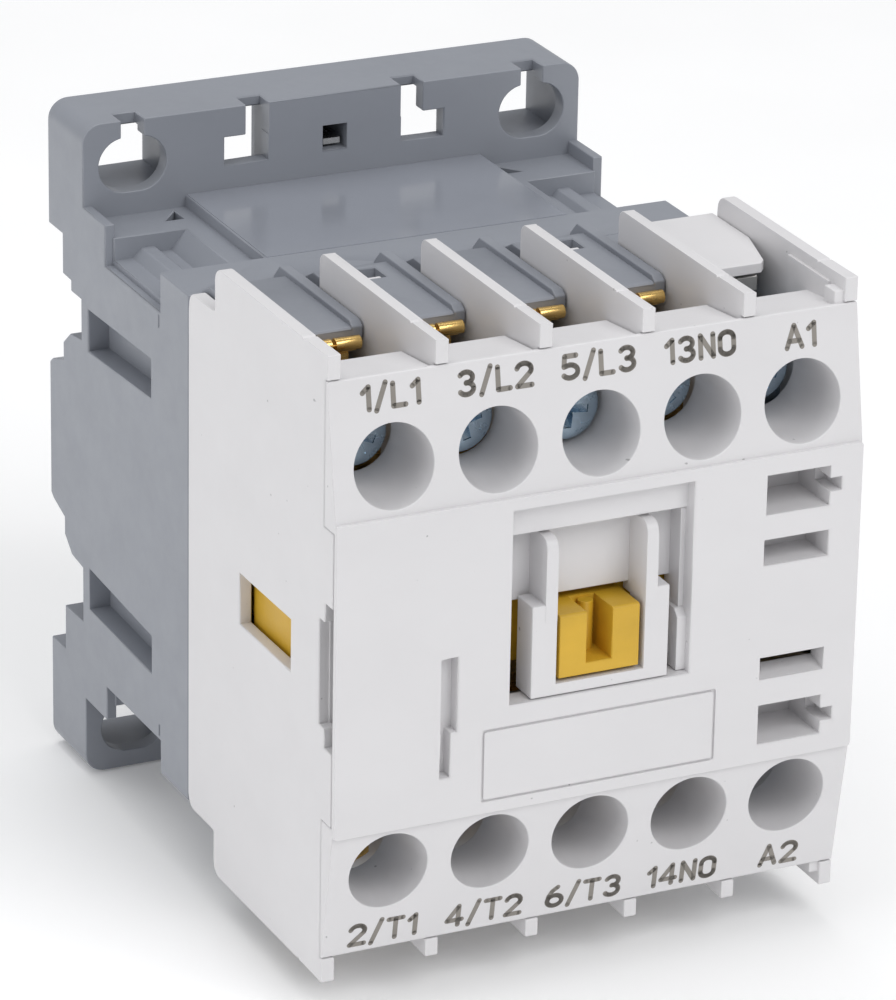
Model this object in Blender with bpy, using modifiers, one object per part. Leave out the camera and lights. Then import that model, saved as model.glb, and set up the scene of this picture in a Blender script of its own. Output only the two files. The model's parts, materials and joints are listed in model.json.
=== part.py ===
"""Miniature DIN-rail contactor: three power poles, one normally open auxiliary pole and an AC coil.

Frame: X to the right as seen from the front, Y into the depth (the front face looks along -Y),
Z up.  The origin is the centre of the rear mounting plane.  The pieces are worked out in
millimetres and turned into metres by MM as each one is finished.
"""

import bmesh
import bpy
from math import cos, pi, sin
from mathutils import Matrix, Vector

MM = 0.001

# ---------------------------------------------------------------- driving dimensions (mm)
HALF_W = 22.5              # half of the 45 mm module width
FRONT_Y = -58.06           # face of the central front block
GAP = 0.3                  # running and assembly gap between neighbouring pieces

PITCH = 8.7                # distance between neighbouring terminals
COLUMNS = [-2 * PITCH, -PITCH, 0.0, PITCH, 2 * PITCH]
POLES = COLUMNS[:4]        # the fifth column carries the coil terminals
COIL_X = COLUMNS[4]
SCREW_Z = 16.82            # terminal screws above and below mid-height

# rear flanges and rail seat
FLANGE_TOP = 28.82
FLANGE_FRONT = -7.52
FLANGE_LOW = 18.1
FLANGE_R = 1.7
SEAT_Y = -3.0
FIX_X, FIX_Z = 18.0, 25.0  # fixing holes
FIX_LONG, FIX_HIGH = 5.96, 4.64

# grey base
JOINT_Y = -29.5            # plane where the base meets the terminal housing
WALL_TOP, WALL_LOW = 18.35, -18.95
BLOCK_TOP, BLOCK_LOW = 21.6, -21.85
BLOCK_BACK = -23.75
PLATE_X = 13.4
TONGUE_TOP = 22.7
TONGUE_FRONT = -44.0

# white terminal housing
WALL_T = 1.1
FIN_X = [-1.5 * PITCH, -0.5 * PITCH, 0.5 * PITCH, 1.5 * PITCH]
FIN_T = 1.1
FIN_TOP = 26.0
FIN_BACK, FIN_FRONT, TIP_FRONT = -34.7, -55.4, -56.05
SHOULDER_Z = 22.3

# front cover
BLOCK_Z = 12.94
BAND_LOW_Y, BAND_TOP_Y, BAND_TOP_Z = -57.70, -55.97, 23.87
SLAB_BACK = -49.7
HOLE_R_FRONT, HOLE_R_BACK = 3.3, 3.1

# terminals
PLATE_Y0, PLATE_Y1 = -43.0, -41.8       # fixed contact strip
HEAD_R, HEAD_T = 2.75, 1.9
STEM_R, STEM_L = 1.65, 8.4
CLAMP_T = 1.0
TIGHT_HEAD_Y = -46.5                    # top of a fully tightened screw head
# how far each screw stands out from its tightened position, upper row then lower row
BACKED_OFF_TOP = [3.8, 4.3, 5.1, 3.8, 3.6]
BACKED_OFF_LOW = [2.6, 1.6, 0.0, 0.0, 1.6]

# magnet system
TRAVEL = 4.5
CORE_X, CORE_Z = 15.0, 5.0
LEG_MID, LEG_OUT = 4.0, 10.2
MOVING_FACE, FIXED_FACE = -20.6, -16.0

# ---------------------------------------------------------------- scene and collections
for old in list(bpy.data.objects):
    bpy.data.objects.remove(old, do_unlink=True)

PARTS = bpy.data.collections.new("din_rail_contactor")
WORK = bpy.data.collections.new("construction")
bpy.context.scene.collection.children.link(PARTS)
bpy.context.scene.collection.children.link(WORK)


def material(name, colour, roughness, metallic=0.0):
    mat = bpy.data.materials.new(name)
    mat.use_nodes = True
    shader = mat.node_tree.nodes["Principled BSDF"]
    shader.inputs["Base Color"].default_value = (*colour, 1.0)
    shader.inputs["Roughness"].default_value = roughness
    shader.inputs["Metallic"].default_value = metallic
    mat.diffuse_color = (*colour, 1.0)
    return mat


GREY = ((0.33, 0.35, 0.39), 0.42, 0.0)
WHITE = ((0.72, 0.72, 0.73), 0.5, 0.0)
YELLOW = ((0.72, 0.46, 0.05), 0.5, 0.0)
BRASS = ((0.80, 0.55, 0.22), 0.3, 1.0)
COPPER = ((0.75, 0.42, 0.27), 0.35, 1.0)
ZINC = ((0.62, 0.67, 0.72), 0.28, 1.0)
STEEL = ((0.55, 0.55, 0.56), 0.38, 1.0)
CORE = ((0.38, 0.38, 0.40), 0.5, 1.0)
BLACK = ((0.03, 0.03, 0.03), 0.6, 0.0)
RUBBER = ((0.05, 0.05, 0.05), 0.8, 0.0)


# ---------------------------------------------------------------- modelling helpers
def scratch(name, mesh):
    obj = bpy.data.objects.new(name, mesh)
    WORK.objects.link(obj)
    obj.hide_render = True
    obj.display_type = "WIRE"
    return obj


def snapped(mesh):
    """Puts the vertices on a 0.1 micrometre grid, so that faces meant to be flush are exactly flush."""
    for vertex in mesh.vertices:
        vertex.co = [round(value, 4) for value in vertex.co]
    mesh.update()
    return mesh


def box(x0, x1, y0, y1, z0, z1):
    """A cuboid between two corners given in millimetres."""
    bm = bmesh.new()
    bmesh.ops.create_cube(bm, size=1.0)
    bmesh.ops.scale(bm, vec=Vector((x1 - x0, y1 - y0, z1 - z0)), verts=bm.verts)
    bmesh.ops.translate(bm, vec=Vector(((x0 + x1) / 2, (y0 + y1) / 2, (z0 + z1) / 2)), verts=bm.verts)
    mesh = bpy.data.meshes.new("box")
    bm.to_mesh(mesh)
    bm.free()
    return scratch("box", snapped(mesh))


def rod(axis, a, b, lo, hi, r0, r1=None, steps=24):
    """A cylinder or cone along 'y' or 'z'; a and b are its centre on the two other axes.
    r0 is the radius at lo and r1 the radius at hi."""
    r1 = r0 if r1 is None else r1
    bm = bmesh.new()
    bmesh.ops.create_cone(bm, cap_ends=True, segments=steps, radius1=r0, radius2=r1, depth=hi - lo)
    mid = (lo + hi) / 2
    if axis == "y":
        turn = Matrix.Rotation(-pi / 2, 4, "X")
        where = Vector((a, mid, b))
    else:
        turn = Matrix.Identity(4)
        where = Vector((a, b, mid))
    bmesh.ops.transform(bm, matrix=Matrix.Translation(where) @ turn, verts=bm.verts)
    mesh = bpy.data.meshes.new("rod")
    bm.to_mesh(mesh)
    bm.free()
    return scratch("rod", snapped(mesh))


def evaluated_mesh(obj):
    bpy.context.view_layer.update()
    graph = bpy.context.evaluated_depsgraph_get()
    return bpy.data.meshes.new_from_object(obj.evaluated_get(graph), preserve_all_data_layers=False, depsgraph=graph)


def to_world_mesh(obj):
    """Turns a curve or a placed object into a welded mesh in world coordinates."""
    mesh = evaluated_mesh(obj)
    mesh.transform(obj.matrix_world)
    bm = bmesh.new()
    bm.from_mesh(mesh)
    bmesh.ops.remove_doubles(bm, verts=bm.verts, dist=1e-4)
    bm.to_mesh(mesh)
    bm.free()
    bpy.data.objects.remove(obj, do_unlink=True)
    return snapped(mesh)


def prism(plane, points, lo, hi):
    """A flat outline given in millimetres and extruded between lo and hi.
    plane 'yz' extrudes along X, plane 'xz' along Y and plane 'xy' along Z."""
    curve = bpy.data.curves.new("outline", "CURVE")
    curve.dimensions = "2D"
    curve.fill_mode = "BOTH"
    curve.extrude = (hi - lo) / 2
    line = curve.splines.new("POLY")
    line.points.add(len(points) - 1)
    for spot, (a, b) in zip(line.points, points):
        spot.co = (a, b, 0.0, 1.0)
    line.use_cyclic_u = True
    obj = bpy.data.objects.new("outline", curve)
    WORK.objects.link(obj)
    mid = (lo + hi) / 2
    if plane == "yz":
        frame = Matrix(((0, 0, 1, mid), (1, 0, 0, 0), (0, 1, 0, 0), (0, 0, 0, 1)))
    elif plane == "xz":
        frame = Matrix(((1, 0, 0, 0), (0, 0, -1, mid), (0, 1, 0, 0), (0, 0, 0, 1)))
    else:
        frame = Matrix(((1, 0, 0, 0), (0, 1, 0, 0), (0, 0, 1, mid), (0, 0, 0, 1)))
    obj.matrix_world = frame
    return scratch("prism", to_world_mesh(obj))


PENDING = {}


def settle(target):
    """Carries out the queued Boolean of a solid, with all its tools in one go."""
    operation, tools = PENDING.pop(target.name, ("", []))
    if not tools:
        return target
    group = bpy.data.collections.new("tools")
    WORK.children.link(group)
    for tool in tools:
        group.objects.link(tool)
    step = target.modifiers.new("step", "BOOLEAN")
    step.operation = operation
    step.solver = "EXACT"
    step.operand_type = "COLLECTION"
    step.collection = group
    mesh = evaluated_mesh(target)
    target.modifiers.clear()
    old = target.data
    target.data = snapped(mesh)
    bpy.data.meshes.remove(old)
    for tool in tools:
        bpy.data.objects.remove(tool, do_unlink=True)
    bpy.data.collections.remove(group)
    return target


def queue(target, tools, operation):
    if PENDING.get(target.name, (operation, []))[0] != operation:
        settle(target)
    tools = [settle(tool) for tool in tools]
    PENDING.setdefault(target.name, (operation, []))[1].extend(tools)
    return target


def join(target, *tools):
    return queue(target, tools, "UNION")


def cut(target, *tools):
    return queue(target, tools, "DIFFERENCE")


def mirror_z(points):
    """The lower half of an outline that is symmetric about mid-height, in reverse order."""
    return [(a, -b) for a, b in reversed(points)]


def finish(obj, name, look, origin=None, smooth=False):
    """Names a piece, gives it its material and puts its origin on the given point (mm)."""
    settle(obj)
    mesh = obj.data
    bm = bmesh.new()
    bm.from_mesh(mesh)
    bmesh.ops.remove_doubles(bm, verts=bm.verts, dist=2e-4)
    bmesh.ops.dissolve_degenerate(bm, dist=2e-4, edges=bm.edges)
    bm.to_mesh(mesh)
    bm.free()
    mesh.transform(Matrix.Scale(MM, 4))
    if origin is not None:
        spot = Vector(origin) * MM
        mesh.transform(Matrix.Translation(-spot))
        obj.location = spot
    if smooth:
        mesh.shade_smooth()
        mesh.set_sharp_from_angle(angle=0.6)
    mesh.materials.clear()
    mesh.materials.append(material(name, *look))
    mesh.name = name
    obj.name = name
    WORK.objects.unlink(obj)
    PARTS.objects.link(obj)
    obj.hide_render = False
    obj.display_type = "TEXTURED"
    return obj


def copy_of(source, name, look, place):
    """Another object with the same mesh, at a place given in millimetres."""
    mesh = source.data.copy()
    mesh.materials.clear()
    mesh.materials.append(material(name, *look))
    obj = bpy.data.objects.new(name, mesh)
    obj.location = Vector(place) * MM
    PARTS.objects.link(obj)
    return obj


def arc(cx, cy, r, start, end, steps):
    """Points on an arc, with angles in degrees."""
    out = []
    for i in range(steps + 1):
        t = (start + (end - start) * i / steps) * pi / 180
        out.append((cx + r * cos(t), cy + r * sin(t)))
    return out


def both_signs(low, high):
    """The interval low..high and its mirror image."""
    return [(low, high), (-high, -low)]


# ---------------------------------------------------------------- grey base
def base_housing():
    upper = [
        (0.0, 5.9), (-3.0, 7.1), (-3.0, 8.6), (-4.6, 9.9), (-9.0, 10.4), (-9.0, 13.7),
        (-4.8, 13.7), (-4.8, 14.6), (SEAT_Y, 14.6), (SEAT_Y, 20.0), (-7.0, 20.0), (-7.0, WALL_TOP), (JOINT_Y, WALL_TOP),
    ]
    lower = [(a, b if b != -WALL_TOP else WALL_LOW) for a, b in mirror_z(upper)]
    body = prism("yz", upper + lower, -HALF_W, HALF_W)

    # rear flanges with rounded outer corners
    r = FLANGE_R
    for s in (1, -1):
        flange = [(-HALF_W, s * FLANGE_LOW)] + [
            (x, s * z) for x, z in
            arc(-HALF_W + r, FLANGE_TOP - r, r, 180, 90, 4) + arc(HALF_W - r, FLANGE_TOP - r, r, 90, 0, 4)
        ] + [(HALF_W, s * FLANGE_LOW)]
        join(body, prism("xz", flange, FLANGE_FRONT, 0.0))

    # raised plate, its side strips, the front block and the corner gussets
    join(
        body,
        box(-PLATE_X, PLATE_X, -24.3, -7.2, BLOCK_LOW, BLOCK_TOP),
        box(-HALF_W, HALF_W, JOINT_Y, BLOCK_BACK, BLOCK_LOW, BLOCK_TOP),
    )
    for x0, x1 in both_signs(21.6, HALF_W):
        join(body, box(x0, x1, -12.2, -7.0, -21.9, 21.85))
    for x0, x1 in both_signs(13.0, 21.75):
        join(body, box(x0, x1, -12.4, -7.0, -20.7, 20.7))
    # stepped shelf between the plate and each side wall: strip, slope, low rib, slope, floor
    shelf = [(13.0, 17.0), (21.75, 17.0), (21.75, 18.75), (20.1, 18.75), (19.3, 19.6), (18.2, 19.6), (17.7, 19.05), (16.75, 19.05), (15.35, 20.7), (13.0, 20.7)]
    for sx in (1, -1):
        for s in (1, -1):
            outline = [(sx * x, s * z) for x, z in shelf]
            join(body, prism("xz", outline if sx == s else outline[::-1], -24.0, -10.0))

    # terminal shrouds that reach forward over the wire entries
    for s in (1, -1):
        join(body, box(-21.1, 13.9, -30.6, -28.4, min(s * 17.5, s * TONGUE_TOP), max(s * 17.5, s * TONGUE_TOP)))
        join(body, box(13.6, 21.1, -33.4, -28.6, min(s * 17.4, s * 21.9), max(s * 17.4, s * 21.9)))
        for column in POLES:
            x0 = -21.1 if column == POLES[0] else column - 3.5
            outline = [(-28.5, s * 21.5), (-28.5, s * TONGUE_TOP), (-43.2, s * TONGUE_TOP), (TONGUE_FRONT, s * 22.0), (TONGUE_FRONT, s * 21.5)]
            join(body, prism("yz", outline if s > 0 else outline[::-1], x0, column + 3.5))
            strip = [(-29.6, s * 22.2), (-29.6, s * 23.2), (-42.5, s * 23.2), (-43.0, s * 22.9), (-43.0, s * 22.2)]
            join(body, prism("yz", strip if s > 0 else strip[::-1], column + 2.55, column + 3.5))

    # fixed hooks that catch behind the lower edge of the rail
    for x0, x1 in both_signs(7.0, 13.0):
        join(body, box(x0, x1, -1.7, 0.0, -18.8, -16.6))
    # hollow for the magnet, its rear pocket and the clearance behind the shrouds
    hollow = box(-20.0, 20.0, -31.0, -10.2, -15.2, 15.2)
    for x0, x1 in both_signs(16.4, 20.5):
        cut(hollow, box(x0, x1, -20.7, -9.0, -2.6, 2.6))
    cut(body, hollow)
    cut(body, box(-16.6, 16.6, -10.4, -2.0, -5.4, 5.4))

    # long grooves in the side walls, open at the back
    for x0, x1 in both_signs(21.0, 23.0):
        for z0, z1 in both_signs(10.4, 13.7):
            cut(body, box(x0, x1, -21.87, -8.5, z0, z1))

    # fixing holes (obround), their front grooves, the L-shaped windows
    half = FIX_HIGH / 2
    run = FIX_LONG / 2 - half
    for x in (-FIX_X, FIX_X):
        for s in (1, -1):
            z = s * FIX_Z
            hole = arc(x + run, z, half, -90, 90, 10) + arc(x - run, z, half, 90, 270, 10)
            cut(body, prism("xz", hole, -8.5, 1.0))
            z0, z1 = sorted((z, s * 30.0))
            cut(body, box(x - 1.0, x + 1.0, -8.5, -5.5, z0, z1))
    for s in (1, -1):
        for x0, x1, u0, u1 in ((-9.9, -6.0, -8.0, -5.9), (6.0, 9.9, 5.9, 8.0)):
            z0, z1 = sorted((s * 23.8, s * 26.2))
            cut(body, box(x0, x1, -8.5, 1.0, z0, z1))
            z0, z1 = sorted((s * 26.0, s * 27.6))
            cut(body, box(u0, u1, -8.5, 1.0, z0, z1))
            z0, z1 = sorted((s * 26.0, s * 30.0))
            cut(body, box(u0, u1, -8.5, -5.5, z0, z1))
    # the flanges are hollow behind those windows
    for x0, x1 in both_signs(5.65, 13.5):
        for z0, z1 in both_signs(21.3, 27.9):
            cut(body, box(x0, x1, -6.0, 1.0, z0, z1))
    # and behind the fixing holes
    for x0, x1 in both_signs(14.1, 21.2):
        for z0, z1 in both_signs(22.5, 27.75):
            cut(body, box(x0, x1, -6.0, 1.0, z0, z1))

    # pocket of the rail latch and the square window that shows it
    cut(body, box(-4.2, 4.2, -2.1, -0.5, 17.5, 27.2))
    cut(body, box(-1.1, 1.1, -8.5, -1.9, 23.9, 26.1))
    # snap windows for the housing's latches
    for column in (POLES[1], POLES[3]):
        for z0, z1 in both_signs(21.0, 24.5):
            cut(body, box(column - 1.4, column + 1.4, -33.7, -31.5, z0, z1))
    return finish(body, "base_housing", GREY)


# ---------------------------------------------------------------- white terminal housing
def terminal_housing():
    r = 1.2
    top = [(-29.8, SHOULDER_Z - 1.0), (-30.8, SHOULDER_Z), (FIN_BACK, SHOULDER_Z)]
    top += [(FIN_BACK, FIN_TOP - r), (FIN_BACK - r, FIN_TOP)]
    top += [(TIP_FRONT, FIN_TOP), (TIP_FRONT, 24.2), (FIN_FRONT, 24.2), (FIN_FRONT, 12.0), (-57.1, 12.0), (-57.1, 6.0), (-55.9, 6.0)]
    top += [(-55.9, 4.4), (-54.9, 4.4)]
    outline = top + mirror_z(top)
    body = prism("yz", outline, -HALF_W, -HALF_W + WALL_T)
    join(body, box(-21.6, 21.6, -54.4, -34.9, 10.0, 11.2))
    join(body, prism("yz", outline, HALF_W - WALL_T, HALF_W))
    join(body, box(-21.6, 21.6, -54.4, -34.9, -11.2, -10.0))
    # rear partition behind the terminals
    for z0, z1 in both_signs(7.3, 21.2):
        join(body, box(-21.6, 21.6, -35.9, -34.9, z0, z1))
    # closing strips between the partition and the base
    for z0, z1 in both_signs(19.9, 21.0):
        join(body, box(-21.6, 13.3, -35.3, -30.9, z0, z1))
    # barriers between the terminals
    fin = [(FIN_BACK, 10.6), (FIN_BACK, FIN_TOP - r), (FIN_BACK - r, FIN_TOP), (TIP_FRONT, FIN_TOP)]
    fin += [(TIP_FRONT, 24.2), (FIN_FRONT, 24.2), (FIN_FRONT, 10.6)]
    for x in FIN_X:
        join(body, prism("yz", fin, x - FIN_T / 2, x + FIN_T / 2))
        join(body, prism("yz", mirror_z(fin), x - FIN_T / 2, x + FIN_T / 2))
    # roofs over the coil terminals
    roof = [(13.2, -34.0), (13.2, -46.0), (19.7, -46.0), (21.6, -40.0), (21.6, -34.0)]
    for z0, z1 in both_signs(22.9, 24.2):
        join(body, prism("xy", roof, z0, z1))
    # latches that snap into the base
    for column in (POLES[1], POLES[3]):
        for s in (1, -1):
            z0, z1 = sorted((s * 19.9, s * 21.0))
            join(body, box(column - 1.0, column + 1.0, -35.3, -32.5, z0, z1))
            z0, z1 = sorted((s * 20.0, s * 22.7))
            join(body, box(column - 1.0, column + 1.0, -33.4, -32.4, z0, z1))
    # rear walls of the accessory grooves
    for x0, x1 in both_signs(20.2, 21.6):
        join(body, box(x0, x1, -55.0, -53.8, -11.0, 11.0))
    # guide of the drive head: back wall, two upright fins and a U-shaped frame
    join(body, box(-7.4, 7.4, -54.06, -53.2, 3.0, 10.6))
    for x0, x1 in both_signs(3.8, 4.8):
        join(body, box(x0, x1, -57.9, -53.9, 2.2, 9.1))
    frame = [(-5.9, -4.0), (5.9, -4.0), (5.9, 3.7), (3.8, 3.7), (3.8, -3.15), (-3.8, -3.15), (-3.8, 3.7), (-5.9, 3.7)]
    join(body, prism("xz", frame, -57.88, -56.6))

    # slots for the fixed contacts and the coil terminals
    for column in POLES:
        for z0, z1 in both_signs(9.5, 11.8):
            cut(body, box(column - 2.95, column + 2.95, -43.9, -41.4, z0, z1))
    for z0, z1 in both_signs(12.7, 14.7):
        cut(body, box(COIL_X - 2.0, COIL_X + 2.0, -36.5, -34.5, z0, z1))
    # windows in both side walls at the level of the contact carrier
    for x0, x1 in both_signs(20.9, 23.0):
        cut(body, box(x0, x1, -49.6, -39.75, -2.15, 2.15))
    return finish(body, "terminal_housing", WHITE)


# ---------------------------------------------------------------- white front cover
def front_cover():
    body = box(-HALF_W, HALF_W, FRONT_Y, -57.4, -BLOCK_Z, BLOCK_Z)
    join(body, box(-21.0, 21.0, -57.5, -55.9, -13.6, 13.6))
    band = [(-57.9, 12.3), (BAND_LOW_Y, 13.2), (BAND_TOP_Y, BAND_TOP_Z), (-55.7, BAND_TOP_Z), (-55.7, 12.3)]
    for half in (band, mirror_z(band)):
        join(body, prism("yz", half, -HALF_W, HALF_W))
    for column in COLUMNS:
        x0 = -21.1 if column == COLUMNS[0] else column - 3.5
        x1 = 21.1 if column == COLUMNS[-1] else column + 3.5
        slab = [(-56.0, 12.6), (-56.0, 23.75), (SLAB_BACK, 23.1), (SLAB_BACK, 12.6)]
        join(body, prism("yz", slab, x0, x1))
        join(body, prism("yz", mirror_z(slab), x0, x1))
    for column in COLUMNS:
        for s in (1, -1):
            cut(body, rod("y", column, s * SCREW_Z, -58.6, -49.2, HOLE_R_FRONT, HOLE_R_BACK, steps=24))

    # window of the drive head and the shallow ledge above it
    cut(body, box(-7.7, 7.7, -59.0, -55.0, -4.3, 9.4))
    cut(body, box(-7.75, 7.8, -59.0, -56.86, 9.2, 11.95))
    # recess for a label, narrow slot, accessory slots
    cut(body, box(-10.05, 10.15, -59.0, -57.82, -12.0, -5.9))
    cut(body, box(-13.65, -12.2, -59.0, -56.8, -5.6, 0.65))
    cut(body, box(-13.6, -12.75, -59.0, -56.8, -9.35, -5.4))
    cut(body, box(14.1, 19.65, -59.0, -55.0, 8.05, 11.4))
    cut(body, box(19.5, 20.65, -59.0, -55.0, 9.2, 10.3))
    cut(body, box(14.05, 19.7, -59.0, -55.0, 3.87, 6.0))
    cut(body, box(14.1, 19.7, -59.0, -56.3, -6.0, -4.0))
    cut(body, box(14.15, 19.65, -59.0, -55.0, -11.4, -8.15))
    cut(body, box(19.5, 20.65, -59.0, -55.0, -10.4, -9.3))
    # relief of the inner plate beside the accessory grooves
    for x0, x1 in both_signs(19.8, 21.3):
        cut(body, box(x0, x1, -57.4, -55.0, -11.3, 11.3))
    return finish(body, "front_cover", WHITE)


# ---------------------------------------------------------------- moving contact system
def contact_carrier():
    body = box(-21.1, 13.2, -53.4, -39.4, -2.7, 2.7)
    join(body, box(-20.4, 20.4, -40.2, -37.2, -2.6, 2.6))
    cut(body, box(13.2, 21.5, -41.5, -39.6, -3.0, 3.0))
    # stem and fork that hold the moving core
    join(body, box(-7.0, 7.0, -38.0, -34.0, -2.7, 2.7))
    join(body, box(-3.0, 3.0, -36.4, -34.4, -6.5, 6.5))
    for z0, z1 in both_signs(5.3, 6.5):
        join(body, box(-3.0, 3.0, -36.2, -29.5, z0, z1))
    cut(body, rod("z", 0.0, -31.2, -7.5, 7.5, 1.3, steps=16))
    # windows of the contact bridges
    for column in POLES:
        cut(body, box(column - 2.2, column + 2.2, -52.2, -46.9, -4.0, 4.0))
    # drive head with its notch and inner rib
    join(body, box(-3.45, 3.45, -57.75, -53.0, -2.8, 2.45))
    cut(body, box(-1.1, 1.1, -58.5, -54.4, -1.85, 3.0))
    join(body, box(-0.45, 0.45, -55.2, -54.0, -2.3, 2.3))
    # small step on the end that shows in the side window
    cut(body, box(-22.0, -20.8, -54.0, -46.9, -3.0, 3.0))
    return finish(body, "contact_carrier", YELLOW, origin=(0.0, -45.0, 0.0))


def contact_bridges():
    first = None
    for i, column in enumerate(POLES, 1):
        name = "contact_bridge_%d" % i
        if first is None:
            body = box(-1.6, 1.6, -48.1, -47.2, -6.6, 6.6)
            for z in (-5.3, 5.3):
                join(body, rod("y", 0.0, z, -47.4, -46.6, 1.2, steps=12))
            first = finish(body, name, COPPER, origin=(0.0, -47.65, 0.0))
            first.location.x = column * MM
        else:
            copy_of(first, name, COPPER, (column, -47.65, 0.0))


def helix(name, look, x, y0, y1, z, radius, wire, turns, per_turn):
    """A compression spring along Y with a closed turn at each end."""
    curve = bpy.data.curves.new(name, "CURVE")
    curve.dimensions = "3D"
    curve.bevel_depth = wire
    curve.bevel_resolution = 1
    curve.use_fill_caps = True
    line = curve.splines.new("POLY")
    count = int(turns * per_turn)
    line.points.add(count)
    ends = 0.75                       # turns at each end that lie flat
    lo, hi = y0 + wire, y1 - wire
    for i, spot in enumerate(line.points):
        t = turns * i / count
        if t < ends:
            level = lo + 2.2 * wire * t
        elif t > turns - ends:
            level = hi - 2.2 * wire * (turns - t)
        else:
            a, b = lo + 2.2 * wire * ends, hi - 2.2 * wire * ends
            level = a + (b - a) * (t - ends) / (turns - 2 * ends)
        angle = 2 * pi * t
        spot.co = (radius * cos(angle), level, radius * sin(angle), 1.0)
    obj = bpy.data.objects.new(name, curve)
    WORK.objects.link(obj)
    coil = scratch(name, to_world_mesh(obj))
    made = finish(coil, name, look, origin=(0.0, (y0 + y1) / 2, 0.0), smooth=True)
    made.location.x = x * MM
    made.location.z = z * MM
    return made


def contact_springs():
    first = None
    for i, column in enumerate(POLES, 1):
        name = "contact_spring_%d" % i
        if first is None:
            first = helix(name, STEEL, column, -51.9, -48.4, 0.0, 1.35, 0.2, 4.0, 10)
        else:
            copy_of(first, name, STEEL, (column, -50.15, 0.0))


def return_springs():
    first = helix("return_spring_left", STEEL, -18.0, -36.9, -21.0, 0.0, 1.6, 0.24, 7.0, 11)
    copy_of(first, "return_spring_right", STEEL, (18.0, -28.95, 0.0))


# ---------------------------------------------------------------- fixed contacts and terminals
def fixed_contacts():
    """Strip with a tapped hole for the screw and a silver tip facing the bridge."""
    made = {}
    for s, prefix in ((1, "line_contact_"), (-1, "load_contact_")):
        z0, z1 = sorted((s * 3.9, s * 21.0))
        body = box(-2.6, 2.6, PLATE_Y0, PLATE_Y1, z0, z1)
        join(body, rod("y", 0.0, s * 5.3, -43.6, PLATE_Y0 + 0.3, 1.3, steps=12))
        cut(body, rod("y", 0.0, s * SCREW_Z, -44.0, -41.0, STEM_R + GAP, steps=16))
        for i, column in enumerate(POLES, 1):
            name = prefix + str(i)
            if i == 1:
                made[s] = finish(body, name, BRASS, origin=(0.0, PLATE_Y0, s * SCREW_Z))
                made[s].location.x = column * MM
            else:
                copy_of(made[s], name, BRASS, (column, PLATE_Y0, s * SCREW_Z))


def coil_terminals():
    for s, name in ((1, "coil_terminal_a1"), (-1, "coil_terminal_a2")):
        z0, z1 = sorted((s * 13.2, s * 21.0))
        body = box(COIL_X - 2.6, COIL_X + 2.6, PLATE_Y0, PLATE_Y1, z0, z1)
        z0, z1 = sorted((s * 13.2, s * 14.2))
        join(body, box(COIL_X - 1.5, COIL_X + 1.5, -42.4, -23.2, z0, z1))
        cut(body, rod("y", COIL_X, s * SCREW_Z, -44.0, -41.0, STEM_R + GAP, steps=16))
        finish(body, name, ZINC, origin=(COIL_X, PLATE_Y0, s * SCREW_Z))


def turned(name, profile, steps):
    """A turned shape about the Y axis: profile is (radius, y), from the front end down the outer side."""
    bm = bmesh.new()
    spots = [bm.verts.new((r, 0.0, -y)) for r, y in profile]
    for a, b in zip(spots, spots[1:]):
        bm.edges.new((a, b))
    mesh = bpy.data.meshes.new(name)
    bm.to_mesh(mesh)
    bm.free()
    obj = scratch(name, mesh)
    spin = obj.modifiers.new("turn", "SCREW")
    spin.axis = "Z"
    spin.steps = steps
    spin.render_steps = steps
    spin.use_merge_vertices = True
    spin.merge_threshold = 1e-5
    spin.use_normal_calculate = False
    mesh = evaluated_mesh(obj)
    obj.modifiers.clear()
    obj.data = mesh
    # the profile was turned about Z with its front end up; lay it along Y, front end at -Y
    mesh.transform(Matrix.Rotation(pi / 2, 4, "X"))
    snapped(mesh)
    return obj


def terminal_screws():
    """Cross-head clamp screws and the saddle clamps captive under their heads."""
    profile = [
        (0.0, 0.0), (HEAD_R - 0.45, 0.0), (HEAD_R, 0.4), (HEAD_R, HEAD_T), (STEM_R, HEAD_T),
        (STEM_R, HEAD_T + STEM_L - 0.6), (STEM_R - 0.5, HEAD_T + STEM_L), (0.0, HEAD_T + STEM_L),
    ]
    screw = turned("screw", profile, 16)
    # the cross recess
    cut(screw, box(-1.6, 1.6, -0.5, 1.0, -0.32, 0.32), box(-0.32, 0.32, -0.5, 1.0, -1.6, 1.6))
    crown = [(3.1, 3.3), (2.2, 4.0), (1.0, 4.35), (-1.0, 4.35), (-2.2, 4.0), (-3.1, 3.3)]
    clamp = prism("xz", crown + [(-x, -z) for x, z in crown], 0.0, CLAMP_T)
    join(clamp, box(-3.1, -2.3, 0.2, CLAMP_T + 0.0, -3.6, 3.6), box(2.3, 3.1, 0.2, CLAMP_T + 0.0, -3.6, 3.6))
    cut(clamp, rod("y", 0.0, 0.0, -1.0, 3.0, STEM_R + GAP, steps=16))
    first_screw = first_clamp = None
    for row, sign, backed in (("upper", 1, BACKED_OFF_TOP), ("lower", -1, BACKED_OFF_LOW)):
        for i, column in enumerate(COLUMNS, 1):
            head = TIGHT_HEAD_Y - backed[i - 1]
            place = (column, head, sign * SCREW_Z)
            under = (column, head + HEAD_T + GAP, sign * SCREW_Z)
            look = BRASS if i < 5 else ZINC
            screw_name = "terminal_screw_%s_%d" % (row, i)
            clamp_name = "saddle_clamp_%s_%d" % (row, i)
            if first_screw is None:
                first_screw = finish(screw, screw_name, ZINC, origin=(0, 0, 0), smooth=True)
                first_screw.location = Vector(place) * MM
                first_clamp = finish(clamp, clamp_name, look, origin=(0, 0, 0))
                first_clamp.location = Vector(under) * MM
            else:
                copy_of(first_screw, screw_name, ZINC, place)
                copy_of(first_clamp, clamp_name, look, under)


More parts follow.
